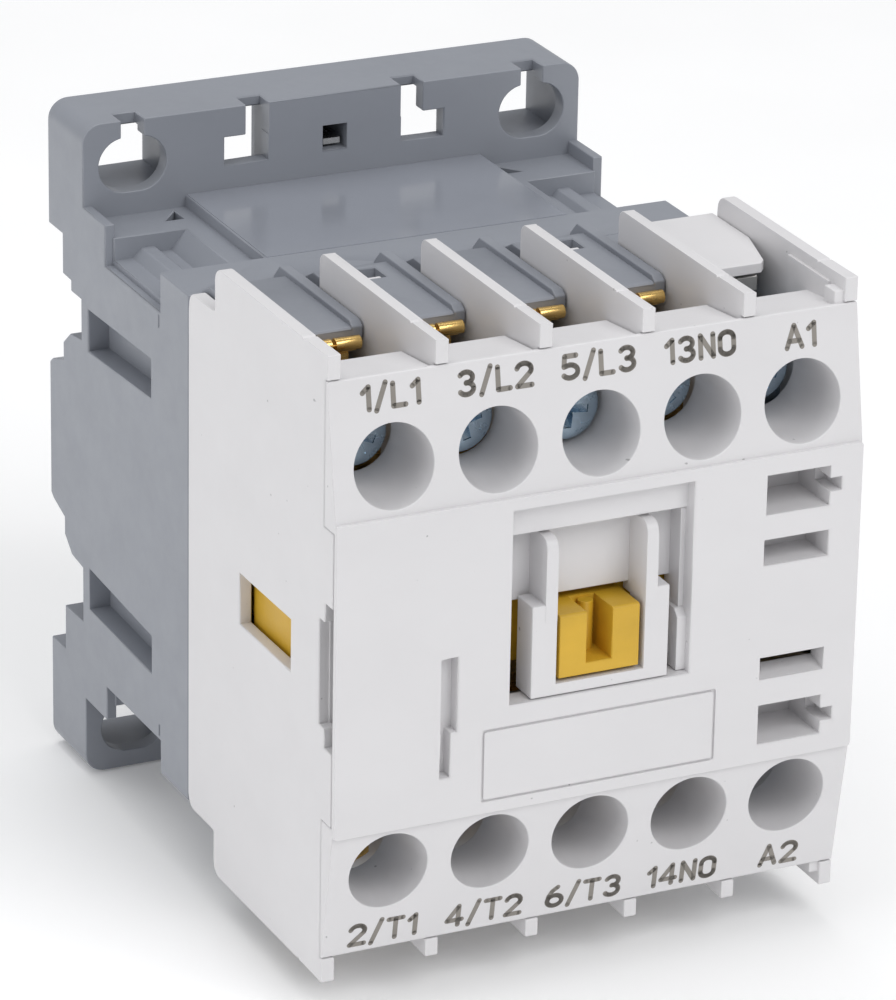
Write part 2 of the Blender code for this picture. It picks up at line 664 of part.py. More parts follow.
# ---------------------------------------------------------------- magnet
def cores():
    body = box(-CORE_X, CORE_X, -8.4, -3.6, -CORE_Z, CORE_Z)
    join(body, box(-LEG_MID, LEG_MID, FIXED_FACE, -8.0, -CORE_Z, CORE_Z))
    for x0, x1 in both_signs(LEG_OUT, CORE_X):
        join(body, box(x0, x1, FIXED_FACE, -8.0, -CORE_Z, CORE_Z))
    for x0, x1 in both_signs(11.1, 12.6):
        cut(body, box(x0, x1, FIXED_FACE - 1.0, -14.4, -6.0, 6.0))
    finish(body, "fixed_core", CORE)

    body = box(-CORE_X, CORE_X, -33.7, -28.8, -CORE_Z, CORE_Z)
    join(body, box(-LEG_MID, LEG_MID, -29.2, MOVING_FACE, -CORE_Z, CORE_Z))
    for x0, x1 in both_signs(LEG_OUT, CORE_X):
        join(body, box(x0, x1, -29.2, MOVING_FACE, -CORE_Z, CORE_Z))
    cut(body, rod("z", 0.0, -31.2, -6.0, 6.0, 1.3, steps=16))
    finish(body, "moving_core", CORE, origin=(0.0, -31.2, 0.0))

    finish(rod("z", 0.0, -31.2, -6.8, 6.8, 1.0, steps=16), "armature_pin", STEEL, origin=(0.0, -31.2, 0.0), smooth=True)

    for side, s in (("left", -1), ("right", 1)):
        x0, x1 = sorted((s * 11.4, s * 16.1))
        ring = box(x0, x1, -15.9, -14.8, -6.1, 6.1)
        x0, x1 = sorted((s * 12.3, s * 15.3))
        cut(ring, box(x0, x1, -17.0, -13.0, -5.3, 5.3))
        finish(ring, "shading_ring_" + side, COPPER)

    finish(box(-14.0, 14.0, -3.3, -2.3, -4.6, 4.6), "core_pad", RUBBER)


def coil():
    body = box(-5.3, 5.3, -23.6, -11.0, -6.3, 6.3)
    join(body, box(-9.7, 9.7, -24.0, -23.0, -12.0, 12.0), box(-9.7, 9.7, -11.5, -10.6, -12.0, 12.0))
    for z0, z1 in both_signs(11.0, 12.9):
        join(body, box(8.8, 19.7, -24.0, -22.8, z0, z1))
    cut(body, box(-4.4, 4.4, -25.0, -9.0, -5.4, 5.4))
    finish(body, "coil_bobbin", BLACK)

    r = 2.0
    outline = []
    for cx, cz, a in ((9.4 - r, 11.0 - r, 0), (-9.4 + r, 11.0 - r, 90), (-9.4 + r, -11.0 + r, 180), (9.4 - r, -11.0 + r, 270)):
        outline += arc(cx, cz, r, a, a + 90, 3)
    winding = prism("xz", outline, -22.7, -11.8)
    cut(winding, box(-5.6, 5.6, -24.0, -10.0, -6.6, 6.6))
    finish(winding, "coil_winding", COPPER)


def rail_latch():
    body = box(-3.8, 3.8, -1.8, -0.8, 16.8, 25.4)
    join(body, box(-0.75, 0.75, -6.8, -1.4, 24.2, 24.7))
    finish(body, "rail_latch_spring", STEEL, origin=(0.0, -1.3, 21.0))


base_housing()
terminal_housing()
front_cover()
contact_carrier()
contact_bridges()
contact_springs()
return_springs()
fixed_contacts()
coil_terminals()
terminal_screws()
cores()
coil()
rail_latch()

for leftover in list(WORK.objects):
    bpy.data.objects.remove(leftover, do_unlink=True)
bpy.context.view_layer.update()
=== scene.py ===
import json
import bmesh
import bpy
from math import atan2, cos, hypot, pi, sin
from mathutils import Matrix, Vector

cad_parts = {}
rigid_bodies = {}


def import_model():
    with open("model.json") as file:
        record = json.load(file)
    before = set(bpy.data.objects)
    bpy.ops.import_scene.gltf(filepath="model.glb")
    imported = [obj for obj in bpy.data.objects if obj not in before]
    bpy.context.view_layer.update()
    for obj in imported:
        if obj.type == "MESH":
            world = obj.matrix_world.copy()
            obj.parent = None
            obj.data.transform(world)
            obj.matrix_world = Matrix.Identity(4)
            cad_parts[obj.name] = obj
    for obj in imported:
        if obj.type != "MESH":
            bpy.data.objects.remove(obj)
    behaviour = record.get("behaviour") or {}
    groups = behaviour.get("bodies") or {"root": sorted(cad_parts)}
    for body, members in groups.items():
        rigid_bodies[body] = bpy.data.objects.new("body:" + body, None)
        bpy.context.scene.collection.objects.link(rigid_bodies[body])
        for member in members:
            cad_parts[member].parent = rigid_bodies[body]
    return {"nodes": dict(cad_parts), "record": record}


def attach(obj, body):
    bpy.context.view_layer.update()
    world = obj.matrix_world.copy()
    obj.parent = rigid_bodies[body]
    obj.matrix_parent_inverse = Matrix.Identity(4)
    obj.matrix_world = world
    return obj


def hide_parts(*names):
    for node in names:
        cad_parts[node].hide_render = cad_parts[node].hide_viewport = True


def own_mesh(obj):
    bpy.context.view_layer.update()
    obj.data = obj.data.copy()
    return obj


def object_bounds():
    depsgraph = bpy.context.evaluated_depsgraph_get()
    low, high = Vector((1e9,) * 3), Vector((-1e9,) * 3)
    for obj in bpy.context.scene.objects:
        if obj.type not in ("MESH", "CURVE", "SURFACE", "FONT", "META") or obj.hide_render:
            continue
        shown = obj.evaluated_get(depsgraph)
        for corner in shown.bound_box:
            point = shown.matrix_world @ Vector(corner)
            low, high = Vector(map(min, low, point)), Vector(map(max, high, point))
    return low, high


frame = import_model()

CAD_LO, CAD_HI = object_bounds()
NODES = frame["nodes"]
BODY_OF = {node: body for body, group in frame["record"]["behaviour"]["bodies"].items() for node in group}
MM = 0.001

# ------------------------------------------------------------------ key sizes (mm)
HALF_W = 22.48
PITCH = 8.7
COLUMNS = [-2 * PITCH, -PITCH, 0.0, PITCH, 2 * PITCH]
POLES = COLUMNS[:4]
COIL_X = COLUMNS[4]
SCREW_Z = 16.82
FIN_X = [-1.5 * PITCH, -0.5 * PITCH, 0.5 * PITCH, 1.5 * PITCH]


# ================================================================== materials
def new_material(name):
    mat = bpy.data.materials.new(name)
    mat.use_nodes = True
    tree = mat.node_tree
    shader = tree.nodes["Principled BSDF"]
    return mat, tree, shader


def node(tree, kind, **values):
    made = tree.nodes.new(kind)
    for key, value in values.items():
        if key in made.inputs:
            made.inputs[key].default_value = value
        else:
            setattr(made, key, value)
    return made


def noise(tree, scale, detail=3.0, roughness=0.5, stretch=None):
    coords = node(tree, "ShaderNodeTexCoord")
    tex = node(tree, "ShaderNodeTexNoise")
    tex.inputs["Scale"].default_value = scale
    tex.inputs["Detail"].default_value = detail
    tex.inputs["Roughness"].default_value = roughness
    if stretch is None:
        tree.links.new(coords.outputs["Object"], tex.inputs["Vector"])
    else:
        mapping = node(tree, "ShaderNodeMapping")
        mapping.inputs["Scale"].default_value = stretch
        tree.links.new(coords.outputs["Object"], mapping.inputs["Vector"])
        tree.links.new(mapping.outputs["Vector"], tex.inputs["Vector"])
    return tex


def ramp(tree, source, stops):
    made = node(tree, "ShaderNodeValToRGB")
    made.color_ramp.elements[0].position = stops[0][0]
    made.color_ramp.elements[0].color = stops[0][1]
    made.color_ramp.elements[1].position = stops[-1][0]
    made.color_ramp.elements[1].color = stops[-1][1]
    for pos, colour in stops[1:-1]:
        e = made.color_ramp.elements.new(pos)
        e.color = colour
    tree.links.new(source, made.inputs["Fac"])
    return made


def grey(v):
    return (v, v, v, 1.0)


def tint(colour, factor):
    return (min(colour[0] * factor, 1.0), min(colour[1] * factor, 1.0), min(colour[2] * factor, 1.0), 1.0)


def plastic(name, colour, rough, grain=0.02, grain_scale=5200.0, spread=0.05, coat=0.0, specks=False, specular=0.5):
    """Moulded plastic: fine spark-eroded grain, faint flow marks in colour and gloss."""
    mat, tree, shader = new_material(name)
    flow = noise(tree, 95.0, 4.0, 0.55, stretch=(1.0, 1.0, 1.7))
    colours = ramp(tree, flow.outputs["Fac"], [(0.25, tint(colour, 1.0 - spread)), (0.55, tint(colour, 1.0)), (0.8, tint(colour, 1.0 + spread * 0.6))])
    last = colours.outputs["Color"]
    if specks:
        dots = noise(tree, 1500.0, 1.0, 0.3)
        mask = ramp(tree, dots.outputs["Fac"], [(0.0, grey(0.0)), (0.80, grey(0.0)), (0.84, grey(1.0))])
        mix = node(tree, "ShaderNodeMix", data_type="RGBA")
        mix.inputs["B"].default_value = tint(colour, 0.55)
        for socket in mix.inputs:
            if socket.identifier == "A_Color":
                tree.links.new(last, socket)
            if socket.identifier == "B_Color":
                socket.default_value = tint(colour, 0.55)
            if socket.identifier == "Factor_Float":
                tree.links.new(mask.outputs["Color"], socket)
        last = [s for s in mix.outputs if s.identifier == "Result_Color"][0]
    tree.links.new(last, shader.inputs["Base Color"])
    gloss = noise(tree, 420.0, 3.0, 0.6)
    rough_map = ramp(tree, gloss.outputs["Fac"], [(0.3, grey(rough - 0.05)), (0.7, grey(rough + 0.06))])
    tree.links.new(rough_map.outputs["Color"], shader.inputs["Roughness"])
    fine = noise(tree, grain_scale, 2.0, 0.6)
    bump = node(tree, "ShaderNodeBump")
    bump.inputs["Strength"].default_value = grain * 10
    bump.inputs["Distance"].default_value = 0.00002
    tree.links.new(fine.outputs["Fac"], bump.inputs["Height"])
    tree.links.new(bump.outputs["Normal"], shader.inputs["Normal"])
    shader.inputs["Specular IOR Level"].default_value = specular
    if coat:
        shader.inputs["Coat Weight"].default_value = coat
        shader.inputs["Coat Roughness"].default_value = 0.12
    return mat


def metal(name, colour, rough, brushed=(1.0, 1.0, 1.0), scale=900.0, spread=0.12, strength=0.25):
    """Metal with fine directional marks, slight stains and uneven gloss."""
    mat, tree, shader = new_material(name)
    shader.inputs["Metallic"].default_value = 1.0
    stain = noise(tree, 210.0, 4.0, 0.6)
    colours = ramp(tree, stain.outputs["Fac"], [(0.3, tint(colour, 1.0 - spread)), (0.6, tint(colour, 1.0)), (0.8, tint(colour, 1.0 + spread * 0.5))])
    tree.links.new(colours.outputs["Color"], shader.inputs["Base Color"])
    marks = noise(tree, scale, 3.0, 0.65, stretch=brushed)
    rough_map = ramp(tree, marks.outputs["Fac"], [(0.3, grey(max(rough - 0.08, 0.05))), (0.75, grey(rough + 0.12))])
    tree.links.new(rough_map.outputs["Color"], shader.inputs["Roughness"])
    bump = node(tree, "ShaderNodeBump")
    bump.inputs["Strength"].default_value = strength
    bump.inputs["Distance"].default_value = 0.00001
    tree.links.new(marks.outputs["Fac"], bump.inputs["Height"])
    tree.links.new(bump.outputs["Normal"], shader.inputs["Normal"])
    return mat


def laminated(name, colour):
    """Stack of thin silicon-steel sheets: fine lines across Z."""
    mat, tree, shader = new_material(name)
    shader.inputs["Metallic"].default_value = 1.0
    coords = node(tree, "ShaderNodeTexCoord")
    wave = node(tree, "ShaderNodeTexWave", wave_type="BANDS", bands_direction="Z")
    wave.inputs["Scale"].default_value = 640.0
    wave.inputs["Distortion"].default_value = 0.6
    tree.links.new(coords.outputs["Object"], wave.inputs["Vector"])
    colours = ramp(tree, wave.outputs["Fac"], [(0.1, tint(colour, 0.45)), (0.3, tint(colour, 1.0)), (1.0, tint(colour, 1.1))])
    tree.links.new(colours.outputs["Color"], shader.inputs["Base Color"])
    rough_map = ramp(tree, wave.outputs["Fac"], [(0.1, grey(0.7)), (0.5, grey(0.38))])
    tree.links.new(rough_map.outputs["Color"], shader.inputs["Roughness"])
    bump = node(tree, "ShaderNodeBump")
    bump.inputs["Strength"].default_value = 0.4
    bump.inputs["Distance"].default_value = 0.00004
    tree.links.new(wave.outputs["Fac"], bump.inputs["Height"])
    tree.links.new(bump.outputs["Normal"], shader.inputs["Normal"])
    return mat


def wound(name, colour):
    """Layers of enamelled wire: bands along Y."""
    mat, tree, shader = new_material(name)
    coords = node(tree, "ShaderNodeTexCoord")
    wave = node(tree, "ShaderNodeTexWave", wave_type="BANDS", bands_direction="Y")
    wave.inputs["Scale"].default_value = 900.0
    wave.inputs["Distortion"].default_value = 0.4
    tree.links.new(coords.outputs["Object"], wave.inputs["Vector"])
    colours = ramp(tree, wave.outputs["Fac"], [(0.0, tint(colour, 0.35)), (0.5, tint(colour, 1.0)), (1.0, tint(colour, 1.35))])
    tree.links.new(colours.outputs["Color"], shader.inputs["Base Color"])
    shader.inputs["Metallic"].default_value = 0.7
    shader.inputs["Coat Weight"].default_value = 0.6
    rough_map = ramp(tree, wave.outputs["Fac"], [(0.0, grey(0.5)), (1.0, grey(0.25))])
    tree.links.new(rough_map.outputs["Color"], shader.inputs["Roughness"])
    bump = node(tree, "ShaderNodeBump")
    bump.inputs["Strength"].default_value = 0.6
    bump.inputs["Distance"].default_value = 0.00005
    tree.links.new(wave.outputs["Fac"], bump.inputs["Height"])
    tree.links.new(bump.outputs["Normal"], shader.inputs["Normal"])
    return mat


WHITE = plastic("white_moulding", (0.715, 0.705, 0.715), 0.42, grain=0.012, spread=0.025, specks=True)
GREY = plastic("grey_moulding", (0.262, 0.277, 0.312), 0.36, grain=0.02, spread=0.05)
GLOSSY_GREY = plastic("grey_polished", (0.262, 0.278, 0.316), 0.16, grain=0.003, spread=0.04, coat=0.5)
YELLOW = plastic("yellow_moulding", (0.66, 0.40, 0.030), 0.42, grain=0.09, grain_scale=3600.0, spread=0.16)
BLACK = plastic("black_moulding", (0.022, 0.022, 0.024), 0.45, grain=0.03)
RUBBER = plastic("rubber", (0.03, 0.03, 0.03), 0.8, grain=0.05, grain_scale=2600.0)
MARK = plastic("laser_mark", (0.265, 0.245, 0.22), 0.65, grain=0.05, grain_scale=9000.0, spread=0.2)
BRASS = metal("brass", (0.83, 0.56, 0.20), 0.22, brushed=(1.0, 1.0, 6.0))
SILVER = metal("silver_alloy", (0.80, 0.78, 0.74), 0.35)
COPPER = metal("copper", (0.78, 0.42, 0.27), 0.28, brushed=(1.0, 1.0, 6.0))
ZINC = metal("zinc_plating", (0.53, 0.66, 0.77), 0.22, scale=1400.0, spread=0.18)
SPRING = metal("spring_steel", (0.58, 0.57, 0.55), 0.26, scale=1800.0)
CORE = laminated("core_laminations", (0.36, 0.36, 0.38))
WINDING = wound("enamelled_wire", (0.42, 0.15, 0.05))


# ================================================================== modelling helpers (millimetres)
WORK = bpy.data.collections.new("construction")
bpy.context.scene.collection.children.link(WORK)


def scratch(name, mesh):
    obj = bpy.data.objects.new(name, mesh)
    WORK.objects.link(obj)
    return obj


def snapped(mesh):
    for vertex in mesh.vertices:
        vertex.co = [round(value, 4) for value in vertex.co]
    mesh.update()
    return mesh


def box(x0, x1, y0, y1, z0, z1):
    bm = bmesh.new()
    bmesh.ops.create_cube(bm, size=1.0)
    bmesh.ops.scale(bm, vec=Vector((x1 - x0, y1 - y0, z1 - z0)), verts=bm.verts)
    bmesh.ops.translate(bm, vec=Vector(((x0 + x1) / 2, (y0 + y1) / 2, (z0 + z1) / 2)), verts=bm.verts)
    mesh = bpy.data.meshes.new("box")
    bm.to_mesh(mesh)
    bm.free()
    return scratch("box", snapped(mesh))


def rod(axis, a, b, lo, hi, r0, r1=None, steps=64):
    r1 = r0 if r1 is None else r1
    bm = bmesh.new()
    bmesh.ops.create_cone(bm, cap_ends=True, segments=steps, radius1=r0, radius2=r1, depth=hi - lo)
    mid = (lo + hi) / 2
    if axis == "y":
        turn = Matrix.Rotation(-pi / 2, 4, "X")
        where = Vector((a, mid, b))
    elif axis == "x":
        turn = Matrix.Rotation(pi / 2, 4, "Y")
        where = Vector((mid, a, b))
    else:
        turn = Matrix.Identity(4)
        where = Vector((a, b, mid))
    bmesh.ops.transform(bm, matrix=Matrix.Translation(where) @ turn, verts=bm.verts)
    mesh = bpy.data.meshes.new("rod")
    bm.to_mesh(mesh)
    bm.free()
    return scratch("rod", snapped(mesh))


def evaluated_mesh(obj):
    bpy.context.view_layer.update()
    graph = bpy.context.evaluated_depsgraph_get()
    return bpy.data.meshes.new_from_object(obj.evaluated_get(graph), preserve_all_data_layers=False, depsgraph=graph)


def to_world_mesh(obj):
    mesh = evaluated_mesh(obj)
    mesh.transform(obj.matrix_world)
    bm = bmesh.new()
    bm.from_mesh(mesh)
    bmesh.ops.remove_doubles(bm, verts=bm.verts, dist=1e-4)
    bm.to_mesh(mesh)
    bm.free()
    bpy.data.objects.remove(obj, do_unlink=True)
    return snapped(mesh)


def prism(plane, points, lo, hi):
    curve = bpy.data.curves.new("outline", "CURVE")
    curve.dimensions = "2D"
    curve.fill_mode = "BOTH"
    curve.extrude = (hi - lo) / 2
    line = curve.splines.new("POLY")
    line.points.add(len(points) - 1)
    for spot, (a, b) in zip(line.points, points):
        spot.co = (a, b, 0.0, 1.0)
    line.use_cyclic_u = True
    obj = bpy.data.objects.new("outline", curve)
    WORK.objects.link(obj)
    mid = (lo + hi) / 2
    if plane == "yz":
        place = Matrix(((0, 0, 1, mid), (1, 0, 0, 0), (0, 1, 0, 0), (0, 0, 0, 1)))
    elif plane == "xz":
        place = Matrix(((1, 0, 0, 0), (0, 0, -1, mid), (0, 1, 0, 0), (0, 0, 0, 1)))
    else:
        place = Matrix(((1, 0, 0, 0), (0, 1, 0, 0), (0, 0, 1, mid), (0, 0, 0, 1)))
    obj.matrix_world = place
    return scratch("prism", to_world_mesh(obj))


PENDING = {}


def settle(target):
    operation, tools = PENDING.pop(target.name, ("", []))
    if not tools:
        return target
    group = bpy.data.collections.new("tools")
    WORK.children.link(group)
    for tool in tools:
        group.objects.link(tool)
    step = target.modifiers.new("step", "BOOLEAN")
    step.operation = operation
    step.solver = "EXACT"
    step.operand_type = "COLLECTION"
    step.collection = group
    mesh = evaluated_mesh(target)
    target.modifiers.clear()
    old = target.data
    target.data = snapped(mesh)
    bpy.data.meshes.remove(old)
    for tool in tools:
        bpy.data.objects.remove(tool, do_unlink=True)
    bpy.data.collections.remove(group)
    return target


def queue(target, tools, operation):
    if PENDING.get(target.name, (operation, []))[0] != operation:
        settle(target)
    tools = [settle(tool) for tool in tools]
    PENDING.setdefault(target.name, (operation, []))[1].extend(tools)
    return target


def join(target, *tools):
    return queue(target, tools, "UNION")


def cut(target, *tools):
    return queue(target, tools, "DIFFERENCE")


def mirror_z(points):
    return [(a, -b) for a, b in reversed(points)]


def arc(cx, cy, r, start, end, steps):
    out = []
    for i in range(steps + 1):
        t = (start + (end - start) * i / steps) * pi / 180
        out.append((cx + r * cos(t), cy + r * sin(t)))
    return out


def both_signs(low, high):
    return [(low, high), (-high, -low)]


def rounded(x0, x1, z0, z1, r, steps=6):
    """A rectangle with rounded corners, as an outline."""
    out = arc(x1 - r, z1 - r, r, 0, 90, steps) + arc(x0 + r, z1 - r, r, 90, 180, steps)
    return out + arc(x0 + r, z0 + r, r, 180, 270, steps) + arc(x1 - r, z0 + r, r, 270, 360, steps)


def edge_radii(bm, width, angle):
    """Marks every real corner edge for rounding, less where a short edge meets it, so that radii never run into each other."""
    layer = bm.edges.layers.float.new("bevel_weight_edge")
    reach = 2.6 * width
    for edge in bm.edges:
        if len(edge.link_faces) != 2 or not edge.is_convex or edge.calc_face_angle(0.0) < angle:
            continue
        near = [other.calc_length() for vertex in edge.verts for other in vertex.link_edges if other is not edge]
        room = min(near + [edge.calc_length()]) / reach
        edge[layer] = 0.0 if room < 0.28 else min(1.0, room)


def soften(obj, width, segments=2, weighted=True):
    """Moulded edge radii and even shading."""
    bevel = obj.modifiers.new("radius", "BEVEL")
    bevel.width = width * MM
    bevel.segments = segments
    if weighted:
        bevel.limit_method = "WEIGHT"
        bevel.use_clamp_overlap = False
    else:
        bevel.limit_method = "ANGLE"
        bevel.angle_limit = 0.5
        bevel.use_clamp_overlap = True
    bevel.miter_outer = "MITER_SHARP"
    bevel.harden_normals = True
    return obj


def finish_piece(obj, name, mat, body, replaces=(), bevel=0.0, segments=2, smooth=0.6, place=None):
    settle(obj)
    mesh = obj.data
    bm = bmesh.new()
    bm.from_mesh(mesh)
    bmesh.ops.remove_doubles(bm, verts=bm.verts, dist=2e-4)
    bmesh.ops.dissolve_degenerate(bm, dist=2e-4, edges=bm.edges)
    if bevel:
        bmesh.ops.dissolve_limit(bm, angle_limit=0.006, use_dissolve_boundaries=False, verts=bm.verts, edges=bm.edges, delimit=set())
        bm.normal_update()
        edge_radii(bm, bevel, 0.5)
    bm.to_mesh(mesh)
    bm.free()
    mesh.transform(Matrix.Scale(MM, 4))
    if place is not None:
        mesh.transform(place)
    mesh.shade_smooth()
    mesh.set_sharp_from_angle(angle=smooth)
    mesh.materials.clear()
    mesh.materials.append(mat)
    obj.name = name
    mesh.name = name
    WORK.objects.unlink(obj)
    bpy.context.scene.collection.objects.link(obj)
    if bevel:
        soften(obj, bevel, segments)
    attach(obj, body)
    if replaces:
        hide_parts(*replaces)
    return obj


def paint(obj, mat, test):
    """Gives faces that pass the test (centre in mm, normal) a second material."""
    mesh = obj.data
    index = len(mesh.materials)
    mesh.materials.append(mat)
    for face in mesh.polygons:
        if test(face.center / MM, face.normal):
            face.material_index = index


# ================================================================== grey base
def base_housing():
    wall_top, wall_low = 18.35, -18.95
    block_top, block_low = 21.75, -21.85
    upper = [
        (0.0, 5.9), (-0.55, 6.3), (-3.0, 7.1), (-3.0, 8.6), (-4.6, 9.9), (-9.0, 10.4), (-9.0, 13.7),
        (-4.8, 13.7), (-4.8, 14.6), (-3.0, 14.65), (-3.0, 20.0), (-7.0, 20.0), (-7.0, wall_top), (-29.5, wall_top),
    ]
    lower = [(-29.5, wall_low), (-7.0, wall_low), (-7.0, -20.0), (-3.0, -20.0), (-3.05, -15.05), (-9.0, -14.95)]
    lower += [(-9.0, -10.4), (-4.6, -9.9), (-3.0, -8.6), (-3.0, -7.1), (-0.55, -6.3), (0.0, -5.9)]
    body = prism("yz", upper + lower, -HALF_W, HALF_W)
    r = 1.7
    for s in (1, -1):
        low = 18.1 if s > 0 else 19.1
        flange = [(-HALF_W, s * low)] + [(x, s * z) for x, z in arc(-HALF_W + r, 28.82 - r, r, 180, 90, 10) + arc(HALF_W - r, 28.82 - r, r, 90, 0, 10)] + [(HALF_W, s * low)]
        join(body, prism("xz", flange, -7.52, 0.0))
    join(
        body,
        box(-13.4, 13.4, -24.3, -7.2, block_low, block_top),
        box(-HALF_W, HALF_W, -29.5, -23.75, block_low, block_top),
    )
    for x0, x1 in both_signs(21.6, HALF_W):
        join(body, box(x0, x1, -12.2, -7.0, -21.9, 21.85))
    for x0, x1 in both_signs(13.0, 21.75):
        join(body, box(x0, x1, -12.4, -7.0, -20.7, 20.7))
    # stepped shelf between the plate and each side wall: strip, slope, low rib, slope, floor
    shelf = [(13.0, 17.0), (21.75, 17.0), (21.75, 18.8), (20.1, 18.8), (19.3, 19.6), (18.2, 19.6), (17.7, 19.05), (16.75, 19.05), (15.35, 20.7), (13.0, 20.7)]
    for sx in (1, -1):
        for s in (1, -1):
            outline = [(sx * x, s * z) for x, z in shelf]
            join(body, prism("xz", outline if sx == s else outline[::-1], -24.0, -10.0))
    # shrouds over the wire entries, each rising from the block on a short ramp
    for s in (1, -1):
        join(body, box(-21.1, 21.1, -30.7, -28.4, min(s * 17.5, s * 21.6), max(s * 17.5, s * 21.6)))
        join(body, box(13.6, 21.1, -33.6, -28.6, min(s * 17.4, s * 21.7), max(s * 17.4, s * 21.7)))
        for column in POLES:
            x0 = -21.2 if column == POLES[0] else column - 3.68
            x1 = column + 3.68
            outline = [(-28.4, s * 20.9), (-29.0, s * block_top), (-30.7, s * 22.68), (-42.95, s * 22.72), (-43.25, s * 22.45), (-43.25, s * 21.85), (-42.9, s * 21.5), (-30.4, s * 21.5)]
            join(body, prism("yz", outline if s > 0 else outline[::-1], x0, x1))
            strip = [(-28.3, s * 21.3), (-28.3, s * 21.9), (-29.5, s * 23.1), (-42.6, s * 23.16), (-43.25, s * 22.75), (-43.25, s * 22.0)]
            join(body, prism("yz", strip if s > 0 else strip[::-1], column + 2.72, x1))
    cut(body, box(-20.0, 20.0, -31.0, -10.2, -15.2, 15.2))
    cut(body, box(-16.6, 16.6, -10.4, -2.0, -5.4, 5.4))
    # long grooves in the side walls, open at the back
    groove = [(-21.87, 10.4), (-8.5, 9.7), (-8.5, 13.3), (-21.87, 13.7)]
    for x0, x1 in both_signs(20.6, 23.0):
        for half in (groove, mirror_z(groove)):
            cut(body, prism("yz", half, x0, x1))
    for s in (1, -1):
        for x0, x1, u0, u1 in ((-9.9, -6.0, -8.0, -5.95), (6.0, 9.9, 5.95, 8.0)):
            z0, z1 = sorted((s * 23.8, s * 26.2))
            cut(body, box(x0, x1, -8.5, 1.0, z0, z1))
            z0, z1 = sorted((s * 26.0, s * 27.6))
            cut(body, box(u0, u1, -8.5, 1.0, z0, z1))
            z0, z1 = sorted((s * 26.0, s * 30.0))
            cut(body, box(u0, u1, -8.5, -5.5, z0, z1))
    # the flanges are hollow behind the windows
    for x0, x1 in both_signs(5.65, 13.5):
        for z0, z1 in both_signs(21.3, 27.9):
            cut(body, box(x0, x1, -6.0, 1.0, z0, z1))
    for x0, x1 in both_signs(14.1, 21.2):
        for z0, z1 in both_signs(22.5, 27.75):
            cut(body, box(x0, x1, -6.0, 1.0, z0, z1))
    for x0, x1 in both_signs(4.3, 5.8):
        for z0, z1 in both_signs(21.3, 27.9):
            cut(body, box(x0, x1, -3.7, 1.0, z0, z1))
    settle(body)
    half, run = 2.32, 0.66
    for x in (-18.05, 18.05):
        for s in (1, -1):
            z = s * 25.0
            hole = arc(x + run, z, half, -90, 90, 24) + arc(x - run, z, half, 90, 270, 24)
            cut(body, prism("xz", hole, -8.5, 1.0))
            if s > 0:
                cut(body, box(x - 1.0, x + 1.0, -8.5, -5.5, z, 30.0))
    cut(body, box(-4.2, 4.2, -2.1, -0.5, 17.5, 27.2))
    cut(body, box(-1.1, 1.1, -8.5, -1.9, 23.9, 26.1))
    # triangular drain notches beside the flange, and small ones at the block
    for s in (1, -1):
        for m in (1, -1):
            tri = [(m * 14.6, -10.1), (m * 14.6, -8.0), (m * 16.3, -10.1)]
            z0, z1 = sorted((s * 19.7, s * 21.2))
            cut(body, prism("xy", tri, z0, z1))
    for column in (POLES[1], POLES[3]):
        for z0, z1 in both_signs(21.0, 24.5):
            cut(body, box(column - 1.5, column + 1.4, -33.8, -31.4, z0, z1))
    # short tick near the top edge of each side wall
    for x0, x1 in both_signs(22.25, 22.8):
        cut(body, box(x0, x1, -23.62, -23.38, 17.0, 18.0), box(x0, x1, -23.62, -23.38, -18.6, -17.6))
    finish_piece(body, "base_moulding", GREY, "base", ["base_housing"], bevel=0.13)
    for s, name in ((1, "upper"), (-1, "lower")):
        z0, z1 = sorted((s * 21.6, s * (21.79 if s > 0 else 21.89)))
        finish_piece(box(-13.3, 13.3, -23.9, -7.56, z0, z1), "polished_field_" + name, GLOSSY_GREY, "base")
    # hooks behind the lower rail edge and lugs that carry the return springs
    hooks = box(7.0, 13.0, -1.7, 0.0, -18.8, -16.6)
    cut(hooks, prism("yz", [(-2.0, -16.4), (-2.0, -17.2), (-1.2, -16.4)], 6.0, 14.0))
    finish_piece(hooks, "rail_hook_right", GREY, "base", bevel=0.12)
    hooks = box(-13.0, -7.0, -1.7, 0.0, -18.8, -16.6)
    cut(hooks, prism("yz", [(-2.0, -16.4), (-2.0, -17.2), (-1.2, -16.4)], -14.0, -6.0))
    finish_piece(hooks, "rail_hook_left", GREY, "base", bevel=0.12)
    for side, s in (("left", -1), ("right", 1)):
        seat = rod("y", s * 18.0, 0.0, -20.7, -9.8, 2.4, 2.5, steps=40)
        join(seat, rod("y", s * 18.0, 0.0, -23.0, -20.4, 1.05, 1.2, steps=32))
        finish_piece(seat, "spring_seat_" + side, GREY, "base", bevel=0.12)


# ================================================================== white terminal housing
def side_outline(tip=True):
    r = 1.2
    top = [(-29.6, 21.0)] + arc(-30.7, 21.1, 1.1, 0, 90, 6) + [(-34.3, 22.2)]
    top += [(-34.7, 22.3), (-34.7, 25.9 - r)] + arc(-34.7 - r, 25.95 - r, r, 0, 90, 8)[1:]
    top += [(-51.35, 25.95), (-51.45, 25.82), (-51.6, 25.82), (-51.7, 25.95), (-56.0, 26.0)]
    top += [(-56.0, 24.0), (-55.55, 24.0), (-55.55, 12.15), (-57.3, 12.15), (-57.3, 6.0), (-55.9, 6.0), (-55.9, 4.4), (-54.9, 4.4)]
    return top + mirror_z(top)


